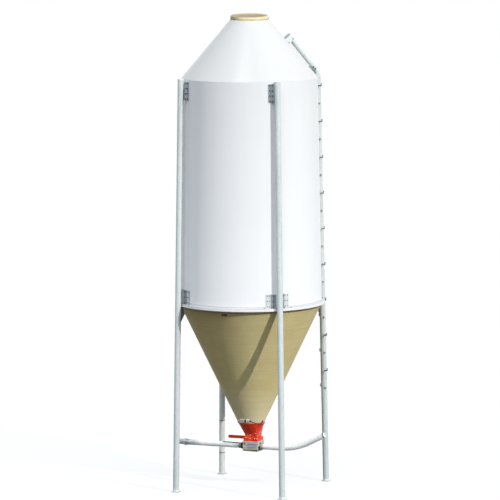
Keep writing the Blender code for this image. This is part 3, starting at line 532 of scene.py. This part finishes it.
# Painted light: a brighter copy of the zinc with no darkening low down, for the back left leg, which the
# sun reaches under the cone.
sunlit_zinc = make_zinc("sunlit_zinc", (0.86, 0.865, 0.82), (0.62, 0.64, 0.61), darker_below=0.0)
pale_zinc = make_zinc("pale_zinc", (0.70, 0.72, 0.72), (0.56, 0.59, 0.60))
bracket_zinc = make_zinc("bracket_zinc", (0.50, 0.53, 0.54), (0.36, 0.39, 0.41))
# Darker zinc: painted shade on the lower brackets' webs and the rail's lower foot, partly painted shade on
# the upper brackets and the pegs.
dull_zinc_and_painted_shade = make_zinc("dull_zinc_and_painted_shade", (0.33, 0.36, 0.38), (0.20, 0.23, 0.25))
box_zinc = make_zinc("box_zinc", (0.60, 0.60, 0.56), (0.38, 0.37, 0.32))
panel_zinc = make_zinc("panel_zinc", (0.52, 0.52, 0.56), (0.36, 0.36, 0.40))
khaki_zinc = make_zinc("khaki_zinc", (0.44, 0.41, 0.28), (0.26, 0.23, 0.15))
shade_zinc = make_zinc("shade_zinc", (0.15, 0.16, 0.17), (0.09, 0.10, 0.11))
dark_steel = make_dark_steel("dark_steel", (0.055, 0.05, 0.05), (0.12, 0.07, 0.045))
bolt_steel = make_dark_steel("bolt_steel", (0.13, 0.14, 0.15), (0.09, 0.08, 0.07), 0.45)
grey_steel = make_dark_steel("grey_steel", (0.24, 0.25, 0.26), (0.17, 0.165, 0.16), 0.45)
pale_steel = make_dark_steel("pale_steel", (0.80, 0.80, 0.76), (0.62, 0.58, 0.50), 0.4)
# Near-black rubber, also painted shade under the box's strip, along its hatch and partly on the bearing.
black_rubber_and_painted_shade = make_dark_steel("black_rubber_and_painted_shade", (0.010, 0.010, 0.011), (0.03, 0.022, 0.018))
brown_steel = make_dark_steel("brown_steel", (0.20, 0.10, 0.06), (0.10, 0.05, 0.03))
red_paint = make_red_paint()
# Painted shade: darker red for the boot's crease.
crease_shade_red = make_dark_steel("crease_shade_red", (0.26, 0.012, 0.005), (0.16, 0.02, 0.01), 0.5)
faded_red = make_dark_steel("faded_red", (0.74, 0.20, 0.12), (0.60, 0.10, 0.05), 0.5)
tube_plastic = make_tube_plastic()
finishes = {
    "white_gelcoat": gelcoat,
    "tan_resin": wound_resin,
    "yellow_resin": moulded_resin,
    "galvanised": zinc,
    "dark_steel": dark_steel,
    "red_paint": red_paint,
    "white_tube": tube_plastic,
}
slot_of = {row["node"]: row["material_slot"] for row in frame["record"]["subparts"]}


# Pieces

def add_piece(name, mesh, material, body, replaced=()):
    """Adds a piece to the scene, on a body, and hides the nodes that it stands for."""
    item = bpy.data.objects.new(name, mesh)
    bpy.context.scene.collection.objects.link(item)
    mesh.materials.clear()
    mesh.materials.append(material)
    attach(item, body)
    if replaced:
        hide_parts(*replaced)
    return item


def finished(shape, name, angle=SHARP_ANGLE):
    """Turns a bmesh into a mesh that is smooth between sharp edges."""
    mesh = bpy.data.meshes.new(name)
    shape.to_mesh(mesh)
    shape.free()
    custom = mesh.attributes.get("custom_normal")
    if custom:
        mesh.attributes.remove(custom)
    mesh.shade_smooth()
    mesh.set_sharp_from_angle(angle=math.radians(angle))
    return mesh


def welded(node_name):
    """A node's own form as one welded bmesh with whole faces."""
    shape = bmesh.new()
    shape.from_mesh(frame["nodes"][node_name].data)
    bmesh.ops.remove_doubles(shape, verts=shape.verts, dist=WELD_DISTANCE)
    bmesh.ops.dissolve_limit(
        shape, angle_limit=FLAT_ANGLE, verts=shape.verts, edges=shape.edges,
        use_dissolve_boundaries=False)
    return shape


def dress(node_name, material=None, bevel=0.0, angle=SHARP_ANGLE):
    """Smooth piece in a node's own form, with its edges eased."""
    name = node_name + "_skin"
    mesh = finished(welded(node_name), name, angle)
    slot = slot_of[node_name]
    body = frame["nodes"][node_name]["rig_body"]
    item = add_piece(name, mesh, material or finishes[slot], body, (node_name,))
    if bevel:
        modifier = item.modifiers.new("eased_edges", "BEVEL")
        modifier.width = bevel
        modifier.segments = 2
        modifier.limit_method = "ANGLE"
        modifier.angle_limit = math.radians(SHARP_ANGLE)
    return item


def second_finish(item, material, test):
    """Gives another material to the faces of a piece that pass a test."""
    index = len(item.data.materials)
    item.data.materials.append(material)
    for face in item.data.polygons:
        if test(face):
            face.material_index = index


def is_web(face):
    """Whether an upright face stands off the wall's own direction."""
    flat = Vector((face.center.x, face.center.y, 0.0)).normalized()
    return abs(face.normal.z) < UPRIGHT_BELOW and abs(face.normal.dot(flat)) < WEB_BELOW


def is_off_tube(face, azimuth):
    """Whether a face of a leg stands off its round tube."""
    return (face.center - leg_point(azimuth, face.center.z)).length > LEG_RADIUS * OFF_TUBE


def is_at_gusset(face):
    """Whether a face lies as high as the gussets, which end under the lip."""
    return GUSSET_FOOT_HEIGHT < face.center.z < WALL_FOOT_HEIGHT - LIP_DEPTH


def gusset_test(azimuth):
    """Test for the faces of a leg's gusset."""
    return lambda face: is_off_tube(face, azimuth) and is_at_gusset(face)


def is_peg(face):
    """Whether a face of the climbing leg belongs to a peg, above the gusset or below it."""
    return is_off_tube(face, math.radians(LEG_CORNERS["back_right"])) and not is_at_gusset(face)


def is_dish(face):
    """Whether a face lies in the lid's dish."""
    return face.normal.z > DISH_ABOVE and math.hypot(face.center.x, face.center.y) < DISH_RADIUS


def is_lip_top(face):
    """Whether a face of the wall lies on top of the lip, which is painted darker as shade."""
    return face.normal.z > LIP_TOP_ABOVE and face.center.z < WALL_FOOT_HEIGHT + LIP_TOP_REACH


def lean_forward(item):
    """Lowers the front of the filler, more the higher up, as it sits askew in the photograph."""
    toward = outward(CAMERA_AZIMUTH)
    for vertex in item.data.vertices:
        rise = max(0.0, vertex.co.z - FILLER_FOOT_HEIGHT) / FILLER_RISE
        vertex.co.z -= rise * FILLER_LEAN * (vertex.co.dot(toward) + LID_RADIUS)


def ring_of(shape, points, matrix, steps):
    """Adds a closed profile of (radius, height) points turned around the matrix's Z."""
    rings = []
    for step in range(steps):
        turn = matrix @ Matrix.Rotation(2 * math.pi * step / steps, 4, "Z")
        rings.append([shape.verts.new(turn @ Vector((radius, 0.0, height))) for radius, height in points])
    for ring, after in zip(rings, rings[1:] + rings[:1]):
        for first, second in zip(range(len(points)), list(range(1, len(points))) + [0]):
            shape.faces.new((ring[first], ring[second], after[second], after[first]))


def turned(name, points, steps, matrix=Matrix.Identity(4)):
    """Mesh of a closed profile turned around an axis."""
    shape = bmesh.new()
    ring_of(shape, points, matrix, steps)
    bmesh.ops.recalc_face_normals(shape, faces=shape.faces)
    return finished(shape, name)


def swept(name, points, radius):
    """Mesh of a round bar along a line of points."""
    curve = bpy.data.curves.new(name, "CURVE")
    curve.dimensions = "3D"
    curve.bevel_depth = radius
    curve.bevel_resolution = BAR_RESOLUTION
    curve.use_fill_caps = True
    spline = curve.splines.new("POLY")
    spline.points.add(len(points) - 1)
    for point, position in zip(spline.points, points):
        point.co = (*position, 1.0)
    guide = bpy.data.objects.new(name, curve)
    bpy.context.scene.collection.objects.link(guide)
    bpy.context.view_layer.update()
    mesh = bpy.data.meshes.new_from_object(guide.evaluated_get(bpy.context.evaluated_depsgraph_get()))
    bpy.data.objects.remove(guide)
    mesh.shade_smooth()
    return mesh


def axis_frame(position, axis):
    """Matrix at a position whose Z runs along an axis."""
    return Matrix.Translation(position) @ Vector(axis).to_track_quat("Z", "Y").to_matrix().to_4x4()


surfaces = {}


def surface_of(names):
    """Search tree over the forms of some nodes."""
    if names not in surfaces:
        corners = []
        faces = []
        for name in names:
            mesh = frame["nodes"][name].data
            start = len(corners)
            corners += [vertex.co for vertex in mesh.vertices]
            faces += [[start + corner for corner in face.vertices] for face in mesh.polygons]
        surfaces[names] = BVHTree.FromPolygons(corners, faces)
    return surfaces[names]


def surface_frame(names, origin, toward):
    """Matrix on the surface of some nodes where a ray meets it, with Z out of the surface."""
    toward = Vector(toward).normalized()
    position, normal = surface_of(names).ray_cast(Vector(origin), toward)[:2]
    if position is None:
        raise ValueError("no surface of %s there" % ", ".join(names))
    if normal.dot(toward) > 0:
        normal = -normal
    return axis_frame(position, normal)


def photo_frame(names, point):
    """Matrix on the surface of some nodes where a point of the photograph shows it."""
    view = bpy.context.scene.camera.matrix_world
    across, down = point
    middle = IMAGE_PIXELS / 2
    toward = view.to_3x3() @ Vector((across - middle, middle - down, -FOCAL_PIXELS))
    return surface_frame(names, view.translation, toward)


def add_slab(shape, inner, outer):
    """Adds a closed slab between two outlines with as many points."""
    lower = [shape.verts.new(point) for point in inner]
    upper = [shape.verts.new(point) for point in outer]
    shape.faces.new(lower[::-1])
    shape.faces.new(upper)
    for first, second in zip(range(len(lower)), list(range(1, len(lower))) + [0]):
        shape.faces.new((lower[first], lower[second], upper[second], upper[first]))


def photo_plates(name, names, outlines, material, lift):
    """Plates on the surface of some nodes, with outlines given as points of the photograph."""
    shape = bmesh.new()
    for outline in outlines:
        spots = [photo_frame(names, point) for point in outline]
        sunk = [spot @ Vector((0.0, 0.0, -PLATE_SUNK)) for spot in spots]
        raised = [spot @ Vector((0.0, 0.0, lift)) for spot in spots]
        add_slab(shape, sunk, raised)
    bmesh.ops.recalc_face_normals(shape, faces=shape.faces)
    return add_piece(name, finished(shape, name, SHARP_ANGLE_OF_PLATES), material, "tank")


def photo_bar(name, names, points, material, radius, lift):
    """Round bar over the surface of some nodes, along points of the photograph."""
    line = [photo_frame(names, point) @ Vector((0.0, 0.0, lift)) for point in points]
    return add_piece(name, swept(name, line, radius), material, "tank")


def box_between(left, top, right, bottom):
    """Outline of an upright rectangle of the photograph."""
    return ((left, bottom), (right, bottom), (right, top), (left, top))


def add_bolt(shape, matrix, flats, turn):
    """Adds a washer, a hexagon head and the bolt's round end, standing along the matrix's Z."""
    spin = matrix @ Matrix.Rotation(turn, 4, "Z")
    for stand, stage in ((matrix, BOLT_WASHER), (spin, BOLT_HEAD), (spin, BOLT_END)):
        sides, lower, upper, depth, middle = stage
        bmesh.ops.create_cone(
            shape, cap_ends=True, segments=sides, radius1=flats * lower, radius2=flats * upper,
            depth=flats * depth, matrix=stand @ Matrix.Translation((0.0, 0.0, flats * middle)))


def bolts_piece(name, matrices, flats, material=None):
    """One piece of many bolts."""
    shape = bmesh.new()
    for index, matrix in enumerate(matrices):
        add_bolt(shape, matrix, flats, index * BOLT_TURN)
    mesh = finished(shape, name, SHARP_ANGLE_OF_PLATES)
    return add_piece(name, mesh, material or bolt_steel, "tank")


# Tank shell

def make_shell():
    """Seamless wall, roof and discharge cone over the segments of the model."""
    lip_bottom = WALL_FOOT_HEIGHT - LIP_DEPTH
    inner = WALL_FOOT_RADIUS - SHELL_THICKNESS
    wall = [
        (SHOULDER_RADIUS, SHOULDER_HEIGHT),
        (wall_radius(WALL_FOOT_HEIGHT + LIP_FILLET_RISE), WALL_FOOT_HEIGHT + LIP_FILLET_RISE),
        *((WALL_FOOT_RADIUS + out, WALL_FOOT_HEIGHT + rise) for out, rise in LIP_FILLET),
        *((LIP_RADIUS + out, WALL_FOOT_HEIGHT + rise) for out, rise in LIP_UPPER_EDGE),
        *((LIP_RADIUS + out, lip_bottom + rise) for out, rise in LIP_LOWER_EDGE),
        (inner, lip_bottom),
        (inner, WALL_FOOT_HEIGHT),
        (SHOULDER_RADIUS - SHELL_THICKNESS, SHOULDER_HEIGHT),
    ]
    sides = ("front", "right", "back", "left")
    shell = add_piece(
        "wall_shell", turned("wall_shell", wall, SHELL_STEPS), gelcoat, "tank",
        ["wall_" + side for side in sides])
    # The top of the lip takes painted shade.
    second_finish(shell, lip_painted_shade_gelcoat, is_lip_top)
    inset = SHELL_THICKNESS / math.sin(roof_slope())
    roof = [
        (ROOF_TOP_RADIUS, ROOF_TOP_HEIGHT),
        (SHOULDER_RADIUS + ROOF_EDGE[0], SHOULDER_HEIGHT + ROOF_EDGE[1]),
        (SHOULDER_RADIUS, SHOULDER_HEIGHT + SEAM_GAP),
        (SHOULDER_RADIUS - inset, SHOULDER_HEIGHT + SEAM_GAP),
        (ROOF_TOP_RADIUS - inset, ROOF_TOP_HEIGHT),
    ]
    add_piece(
        "roof_shell", turned("roof_shell", roof, SHELL_STEPS), roof_painted_shade_gelcoat, "tank",
        ["roof_" + side for side in sides])
    rise = HOPPER_TOP_HEIGHT - HOPPER_OUTLET_HEIGHT
    inset = SHELL_THICKNESS / math.sin(math.atan2(rise, WALL_FOOT_RADIUS - HOPPER_OUTLET_RADIUS))
    hopper = [
        (WALL_FOOT_RADIUS, HOPPER_TOP_HEIGHT),
        (HOPPER_OUTLET_RADIUS, HOPPER_OUTLET_HEIGHT),
        (HOPPER_OUTLET_RADIUS - inset, HOPPER_OUTLET_HEIGHT),
        (WALL_FOOT_RADIUS - inset, HOPPER_TOP_HEIGHT),
    ]
    add_piece(
        "hopper_shell", turned("hopper_shell", hopper, SHELL_STEPS), wound_resin, "tank",
        ["hopper_" + side for side in sides])


def make_frame_skins():
    """Smooth skins of the other nodes."""
    for corner, degrees in LEG_CORNERS.items():
        # The back left leg takes the brighter copy of the zinc: painted light.
        coat = sunlit_zinc if corner == "back_left" else zinc
        leg = dress("leg_" + corner, coat, angle=SHARP_ANGLE_OF_TUBES)
        second_finish(leg, shade_zinc, gusset_test(math.radians(degrees)))
        if corner == "back_right":
            # The pegs in darker zinc, partly painted shade.
            second_finish(leg, dull_zinc_and_painted_shade, is_peg)
        dress("foot_plate_" + corner, bevel=EASE_PLATE)
        bracket = dress("lower_bracket_" + corner, pale_zinc, bevel=EASE_BRACKET)
        # Painted shade on the webs beside the leg.
        second_finish(bracket, dull_zinc_and_painted_shade, is_web)
        # The upper brackets in darker zinc, partly painted shade.
        bracket = dress("upper_bracket_" + corner, dull_zinc_and_painted_shade, bevel=EASE_BRACKET)
        second_finish(bracket, bracket_zinc, is_web)
    dress("roof_rail", angle=SHARP_ANGLE_OF_TUBES)
    dress("rail_top_plate", dull_zinc_and_painted_shade, bevel=EASE_PLATE)
    # Painted shade: the rail's lower foot in darker zinc, where it lies under the rail.
    dress("rail_lower_foot", dull_zinc_and_painted_shade, bevel=EASE_BLOCK)
    lean_forward(dress("filler_collar"))
    lid = dress("filler_lid", angle=SHARP_ANGLE_OF_LID)
    second_finish(lid, dish_resin, is_dish)
    lean_forward(lid)
    dress("lid_hinge_bracket", bevel=EASE_HINGE)
    dress("lid_hinge_arm", bevel=EASE_HINGE)
    dress("lid_catch", bevel=EASE_CATCH)
    dress("boot", angle=SHARP_ANGLE_OF_BOOT)
    dress("boot_band", red_paint, bevel=EASE_BAND)
    dress("gate_frame", bevel=EASE_PLATE)
    dress("slide_gate", bevel=EASE_PLATE)
    dress("outlet_box", box_zinc, bevel=EASE_BLOCK)
    dress("coupling_left")
    dress("coupling_right", khaki_zinc, bevel=EASE_PLATE)
    dress("feed_tube_left", angle=SHARP_ANGLE_OF_TUBES)
    dress("feed_tube_right", angle=SHARP_ANGLE_OF_TUBES)


# Fastenings

def bracket_bolts(name, kind, angles_of, middle, offsets, flats, material):
    """Bolts of the four brackets of a kind, at angles beside each leg and heights about the middle."""
    matrices = []
    for corner, degrees in LEG_CORNERS.items():
        node = "%s_bracket_%s" % (kind, corner)
        for angle in angles_of[corner]:
            for offset in offsets:
                out = outward(math.radians(degrees + angle))
                origin = out * BEYOND_LEGS + Vector((0.0, 0.0, middle + offset))
                matrices.append(surface_frame((node,), origin, -out))
    bolts_piece(name, matrices, flats, material)


def make_fastenings():
    """Bolts of brackets and lip."""
    rows = (-0.080, 0.0, 0.080)
    brims = {corner: (-8.5, -6.5, 6.5, 8.8) for corner in LEG_CORNERS}
    bracket_bolts("lower_brim_bolts", "lower", brims, LOWER_BRACKET_MIDDLE, rows, BRIM_BOLT, grey_steel)
    webs = {corner: (-3.9, 3.9) for corner in LEG_CORNERS}
    bracket_bolts("lower_web_bolts", "lower", webs, LOWER_BRACKET_MIDDLE, rows, WEB_BOLT, bolt_steel)
    one_side = (3.1, 5.2)
    other_side = (-3.1, -5.2)
    upper = {
        "front_left": one_side, "front_right": other_side, "back_right": one_side,
        "back_left": other_side}
    rows = (-0.114, -0.038, 0.038, 0.114)
    bracket_bolts(
        "upper_bracket_bolts", "upper", upper, UPPER_BRACKET_MIDDLE, rows, UPPER_BRACKET_BOLT, bolt_steel)
    lip = []
    beside_leg = (-11.0, -5.5, 5.5, 11.0)
    for degrees in LEG_CORNERS.values():
        for angle in beside_leg:
            spot = outward(math.radians(degrees + angle)) * (LIP_RADIUS - LIP_BOLT_INSET)
            spot.z = WALL_FOOT_HEIGHT
            lip.append(axis_frame(spot, (0.0, 0.0, 1.0)))
            under = spot.copy()
            under.z = WALL_FOOT_HEIGHT - LIP_DEPTH
            lip.append(axis_frame(under, (0.0, 0.0, -1.0)))
    bolts_piece("lip_bolts", lip, LIP_BOLT)


# Smaller pieces

CONE_END = ("hopper_front", "hopper_right", "hopper_left", "boot_band", "boot", "gate_frame")


def sleeve(name, centre, axis, inner, outer, length, material, end=None):
    """Ring around an axis from a centre on, whose outer face may widen or narrow towards its end."""
    points = [(inner, 0.0), (outer, 0.0), (end or outer, length), (inner, length)]
    mesh = turned(name, points, SLEEVE_STEPS, axis_frame(centre, axis))
    return add_piece(name, mesh, material, "tank")


def tube_sleeve(name, start, inner, outer, length, material, end=None):
    """Ring around the level stretch of the feed tube."""
    sleeve(name, (start, 0.0, TUBE_HEIGHT), (1.0, 0.0, 0.0), inner, outer, length, material, end)


def make_cone_end():
    """Fastenings where the boot hangs under the cone, with painted shade in the gaps between the clips, the
    boot's crease in painted shade, and screws higher on the cone.
    """
    clips = (box_between(240.0, 419.2, 244.2, 422.2), box_between(246.4, 419.6, 249.4, 422.2))
    photo_plates("clips", CONE_END, clips, pale_steel, lift=0.012)
    # Painted shade: dark plates in the gaps between the clips.
    gaps = (box_between(244.5, 420.2, 246.1, 422.0), box_between(249.6, 420.4, 250.6, 421.8))
    photo_plates("clip_gap_shade", CONE_END, gaps, dark_steel, lift=0.004)
    tip = ((240.2, 420.8), (238.0, 420.4))
    photo_bar("clip_tip", CONE_END, tip, pale_steel, radius=0.008, lift=0.010)
    wire = ((250.1, 421.2), (252.6, 421.8), (255.3, 422.7), (259.0, 423.8), (261.2, 424.2), (263.4, 424.4))
    photo_bar("band_wire", CONE_END, wire, dark_steel, radius=0.0035, lift=0.005)
    strap = ((260.3, 424.0), (261.4, 422.0), (262.6, 420.0))
    photo_bar("strap_edge", CONE_END, strap, brown_steel, radius=0.006, lift=0.008)
    tab = ((261.4, 423.9), (264.0, 423.7), (264.3, 421.2), (262.8, 420.9))
    photo_plates("strap_tab", CONE_END, (tab,), faded_red, lift=0.009)
    # Painted shade: a darker red bar along the boot's crease.
    crease = ((258.8, 425.2), (257.0, 427.0), (255.0, 429.2), (252.3, 431.8))
    photo_bar("boot_crease", ("boot",), crease, crease_shade_red, radius=0.0035, lift=0.0)
    rivets = (
        (250.3, 434.8), (245.9, 437.2), (255.5, 433.7), (259.4, 432.6), (250.1, 438.6), (254.6, 438.9),
        (256.8, 439.0))
    bolts_piece("boot_rivets", [photo_frame(CONE_END, spot) for spot in rivets], RIVET, pale_steel)
    screws = (box_between(221.9, 314.0, 223.6, 315.8), box_between(224.2, 314.0, 226.8, 315.8))
    photo_plates("cone_screws", CONE_END, screws, dark_steel, lift=0.008)


def make_box_details():
    """Panels, seams, strip, hatch, bearing and bolts of the outlet box, with painted shade under the strip
    and along the hatch, and partly on the bearing.
    """
    box = ("outlet_box",)
    panels = (box_between(247.8, 442.4, 256.9, 444.5), box_between(246.6, 445.3, 256.0, 447.5))
    photo_plates("box_panels", box, panels, panel_zinc, lift=0.003)
    seams = (box_between(246.6, 444.7, 256.6, 445.1), box_between(247.6, 447.8, 256.0, 448.1))
    photo_plates("box_seams", box, seams, dark_steel, lift=0.002)
    strip = ((242.9, 449.6), (257.3, 451.3), (257.3, 449.7), (242.9, 448.2))
    photo_plates("box_strip", box, (strip,), khaki_zinc, lift=0.008)
    # Painted shade: a near-black edge under the strip.
    under = ((251.0, 451.2), (257.4, 451.65), (257.4, 450.2), (251.0, 450.4))
    photo_plates("box_strip_edge", box, (under,), black_rubber_and_painted_shade, lift=0.010)
    hatch = ((258.2, 451.2), (263.6, 449.1), (263.6, 448.3), (258.2, 450.0))
    photo_plates("box_hatch", box, (hatch,), grey_steel, lift=0.006)
    # Painted shade: a near-black line along the hatch's lower edge.
    edge = ((258.2, 449.8), (260.6, 448.9), (263.6, 447.9))
    photo_bar("hatch_edge", box, edge, black_rubber_and_painted_shade, radius=0.009, lift=0.005)
    # The bearing, near-black so that it stays dark in the sun: partly painted shade.
    hub = (258.9, 447.6)
    section = ((0.004, 0.0), (0.024, 0.0), (0.021, 0.012), (0.004, 0.012))
    bearing = turned("bearing", section, BEARING_STEPS, photo_frame(box, hub))
    add_piece("bearing", bearing, black_rubber_and_painted_shade, "tank")
    bolts = ((259.9, 443.0), (244.6, 443.4))
    bolts_piece("box_bolts", [photo_frame(box, spot) for spot in bolts], BOX_BOLT)
    patch = box_between(243.0, 445.4, 244.4, 446.8)
    photo_plates("box_patch", box, (patch,), pale_steel, lift=0.003)


def make_tube_details():
    """Rings of the couplings, and cable, saddle and end ring of the feed tube."""
    tube_sleeve(
        "coupling_ring", COUPLING_RING_X, COUPLING_BORE, COUPLING_RING_RADIUS, COUPLING_RING_LENGTH,
        black_rubber_and_painted_shade)
    tube_sleeve(
        "coupling_sleeve", COUPLING_SLEEVE_X, COUPLING_BORE, TUBE_RADIUS, COUPLING_SLEEVE_LENGTH,
        khaki_zinc)
    tube_sleeve(
        "flange_boss", FLANGE_BOSS_X, FLANGE_BOSS_BORE, FLANGE_BOSS_RADIUS, FLANGE_BOSS_LENGTH,
        khaki_zinc, FLANGE_BOSS_END_RADIUS)
    line = ((223.0, 441.9), (229.0, 442.2), (234.0, 442.6), (239.0, 443.0))
    photo_bar("tube_cable", ("feed_tube_left",), line, dark_steel, radius=0.0065, lift=0.006)
    tube_sleeve(
        "tube_saddle", SADDLE_X, TUBE_RADIUS - TUBE_OVERLAP, SADDLE_RADIUS, SADDLE_LENGTH,
        tube_plastic, TUBE_RADIUS + TUBE_OVERLAP)
    tail = Vector((math.cos(TUBE_TAIL_ANGLE), 0.0, math.sin(TUBE_TAIL_ANGLE)))
    sleeve(
        "tube_end_ring", Vector(TUBE_END) - tail * END_RING_SETBACK, tail, TUBE_RADIUS - TUBE_OVERLAP,
        TUBE_RADIUS + END_RING_WALL, END_RING_LENGTH, black_rubber_and_painted_shade)


def make_leg_details():
    """Nuts of the pegs, rings on the back left leg, and the weld beads of all four feet."""
    climbing = math.radians(LEG_CORNERS["back_right"])
    across = outward(climbing - math.pi / 2)
    nuts = []
    for step in range(PEG_COUNT):
        side = across if step % 2 else -across
        centre = leg_point(climbing, SHOULDER_HEIGHT - PEG_TOP_DROP - step * PEG_SPACING)
        nuts.append(axis_frame(centre + side * LEG_RADIUS, side))
    bolts_piece("peg_nuts", nuts, PEG_NUT, dull_zinc_and_painted_shade)
    up = Vector((0.0, 0.0, 1.0))
    inner = LEG_RADIUS - LEG_RING_WALL
    ringed = math.radians(LEG_CORNERS["back_left"])
    for place_name, height in LEG_RING_HEIGHTS.items():
        sleeve(
            "leg_ring_" + place_name, leg_point(ringed, height), up, inner, LEG_RADIUS + LEG_RING_WALL,
            LEG_RING_LENGTH, shade_zinc)
    for corner, degrees in LEG_CORNERS.items():
        sleeve(
            "foot_weld_" + corner, leg_point(math.radians(degrees), FOOT_WELD_HEIGHT), up, inner,
            LEG_RADIUS + FOOT_WELD_SPREAD, FOOT_WELD_LENGTH, zinc, LEG_RADIUS + FOOT_WELD_TOP)


def make_rail_end():
    """Cheeks around the end of the rail at the leg, their bolts, and the bolts on the rail."""
    out = outward(math.radians(LEG_CORNERS["back_right"]))
    slope = roof_slope()
    up = Vector((0.0, 0.0, 1.0))
    down = out * math.cos(slope) - up * math.sin(slope)
    away = out * math.sin(slope) + up * math.cos(slope)
    near = away.cross(down)
    if near.dot(outward(CAMERA_AZIMUTH)) < 0:
        near = -near
    corners = [vertex.co for vertex in frame["nodes"]["rail_top_plate"].data.vertices]
    middle = sum(corners, Vector()) / len(corners)
    outline = ((0.005, -0.057), (0.095, -0.057), (0.095, 0.050), (0.084, 0.061), (0.005, 0.061))
    shape = bmesh.new()
    for side in (-1, 1):
        inner, outer = (
            [middle + down * x + away * z + near * side * reach for x, z in outline]
            for reach in (CHEEK_INNER, CHEEK_OUTER))
        add_slab(shape, inner, outer)
    bmesh.ops.recalc_face_normals(shape, faces=shape.faces)
    cheeks = finished(shape, "rail_end_cheeks", SHARP_ANGLE_OF_PLATES)
    add_piece("rail_end_cheeks", cheeks, zinc, "tank")
    cheek_spots = ((0.080, 0.042), (0.080, -0.040))
    bolts = []
    for x, z in cheek_spots:
        for side in (-1, 1):
            spot = middle + down * x + away * z + near * side * CHEEK_OUTER
            bolts.append(axis_frame(spot, near * side))
    bolts_piece("rail_end_bolts", bolts, RAIL_END_BOLT)
    rail_spots = ((313.6, 66.9), (315.2, 68.6))
    bolts_piece("rail_bolts", [photo_frame(("roof_rail",), spot) for spot in rail_spots], RAIL_BOLT)


# Stage

def make_world():
    """Sky brighter overhead and on the sun's side, white where it is seen."""
    world = bpy.data.worlds.new("sky")
    bpy.context.scene.world = world
    world.use_nodes = True
    tree = world.node_tree
    tree.nodes.clear()
    coordinates = add_node(tree, "ShaderNodeTexCoord")
    split = add_node(tree, "ShaderNodeSeparateXYZ", {"Vector": coordinates.outputs["Generated"]})
    level = ramp(tree, split.outputs["Z"], 0.0, 1.0, SKY_LEVEL_LOW, SKY_LEVEL_HIGH)
    inputs = {0: coordinates.outputs["Generated"], 1: outward(SUN_AZIMUTH)}
    side = add_node(tree, "ShaderNodeVectorMath", inputs, operation="DOT_PRODUCT").outputs["Value"]
    level = multiply(tree, level, ramp(tree, side, -0.9, 0.1, SKY_LEVEL_SHADY_SIDE, 1.0))
    sky = add_node(tree, "ShaderNodeBackground", {"Color": (*SKY_COLOR, 1.0), "Strength": level})
    white = add_node(tree, "ShaderNodeBackground", {"Color": (*WHITE, 1.0), "Strength": 1.0})
    inputs = {0: white_seen(tree), 1: sky.outputs[0], 2: white.outputs[0]}
    mixed = add_node(tree, "ShaderNodeMixShader", inputs)
    add_node(tree, "ShaderNodeOutputWorld", {"Surface": mixed.outputs[0]})


def make_lamp(name, azimuth, elevation, level, softness, color):
    """A sun whose level is the brightness of a white face turned to it."""
    data = bpy.data.lights.new(name, "SUN")
    data.energy = level * math.pi
    data.angle = softness
    data.color = color
    lamp = bpy.data.objects.new(name, data)
    bpy.context.scene.collection.objects.link(lamp)
    lamp.rotation_euler = direction(azimuth, elevation).to_track_quat("Z", "Y").to_euler()


def make_stage():
    """Floor, world and lamps."""
    shape = bmesh.new()
    bmesh.ops.create_circle(shape, cap_ends=True, segments=FLOOR_STEPS, radius=FLOOR_RADIUS)
    mesh = bpy.data.meshes.new("floor")
    shape.to_mesh(mesh)
    shape.free()
    mesh.materials.append(make_floor_material())
    floor = bpy.data.objects.new("floor", mesh)
    floor.location.z = -FLOOR_DROP
    bpy.context.scene.collection.objects.link(floor)
    make_world()
    make_lamp("sun", SUN_AZIMUTH, SUN_ELEVATION, SUN_LEVEL, SUN_SOFTNESS, SUN_COLOR)
    make_lamp("fill", FILL_AZIMUTH, FILL_ELEVATION, FILL_LEVEL, FILL_SOFTNESS, FILL_COLOR)


def make_camera():
    """Camera at the photograph's view."""
    back = direction(CAMERA_AZIMUTH, CAMERA_ELEVATION)
    right = Vector(CAMERA_RIGHT)
    up = back.cross(right)
    rolled_right = right * math.cos(CAMERA_ROLL) + up * math.sin(CAMERA_ROLL)
    rolled_up = up * math.cos(CAMERA_ROLL) - right * math.sin(CAMERA_ROLL)
    data = bpy.data.cameras.new("camera")
    data.lens = FOCAL_PIXELS / IMAGE_PIXELS * data.sensor_width
    data.clip_end = CAMERA_REACH
    camera = bpy.data.objects.new("camera", data)
    bpy.context.scene.collection.objects.link(camera)
    turn = Matrix((rolled_right, rolled_up, back)).transposed().to_4x4()
    camera.matrix_world = Matrix.Translation(CAMERA_TARGET + back * CAMERA_DISTANCE) @ turn
    bpy.context.scene.camera = camera


bpy.context.scene.view_settings.view_transform = "Standard"
make_camera()
make_stage()
make_shell()
make_frame_skins()
make_fastenings()
make_cone_end()
make_box_details()
make_tube_details()
make_leg_details()
make_rail_end()
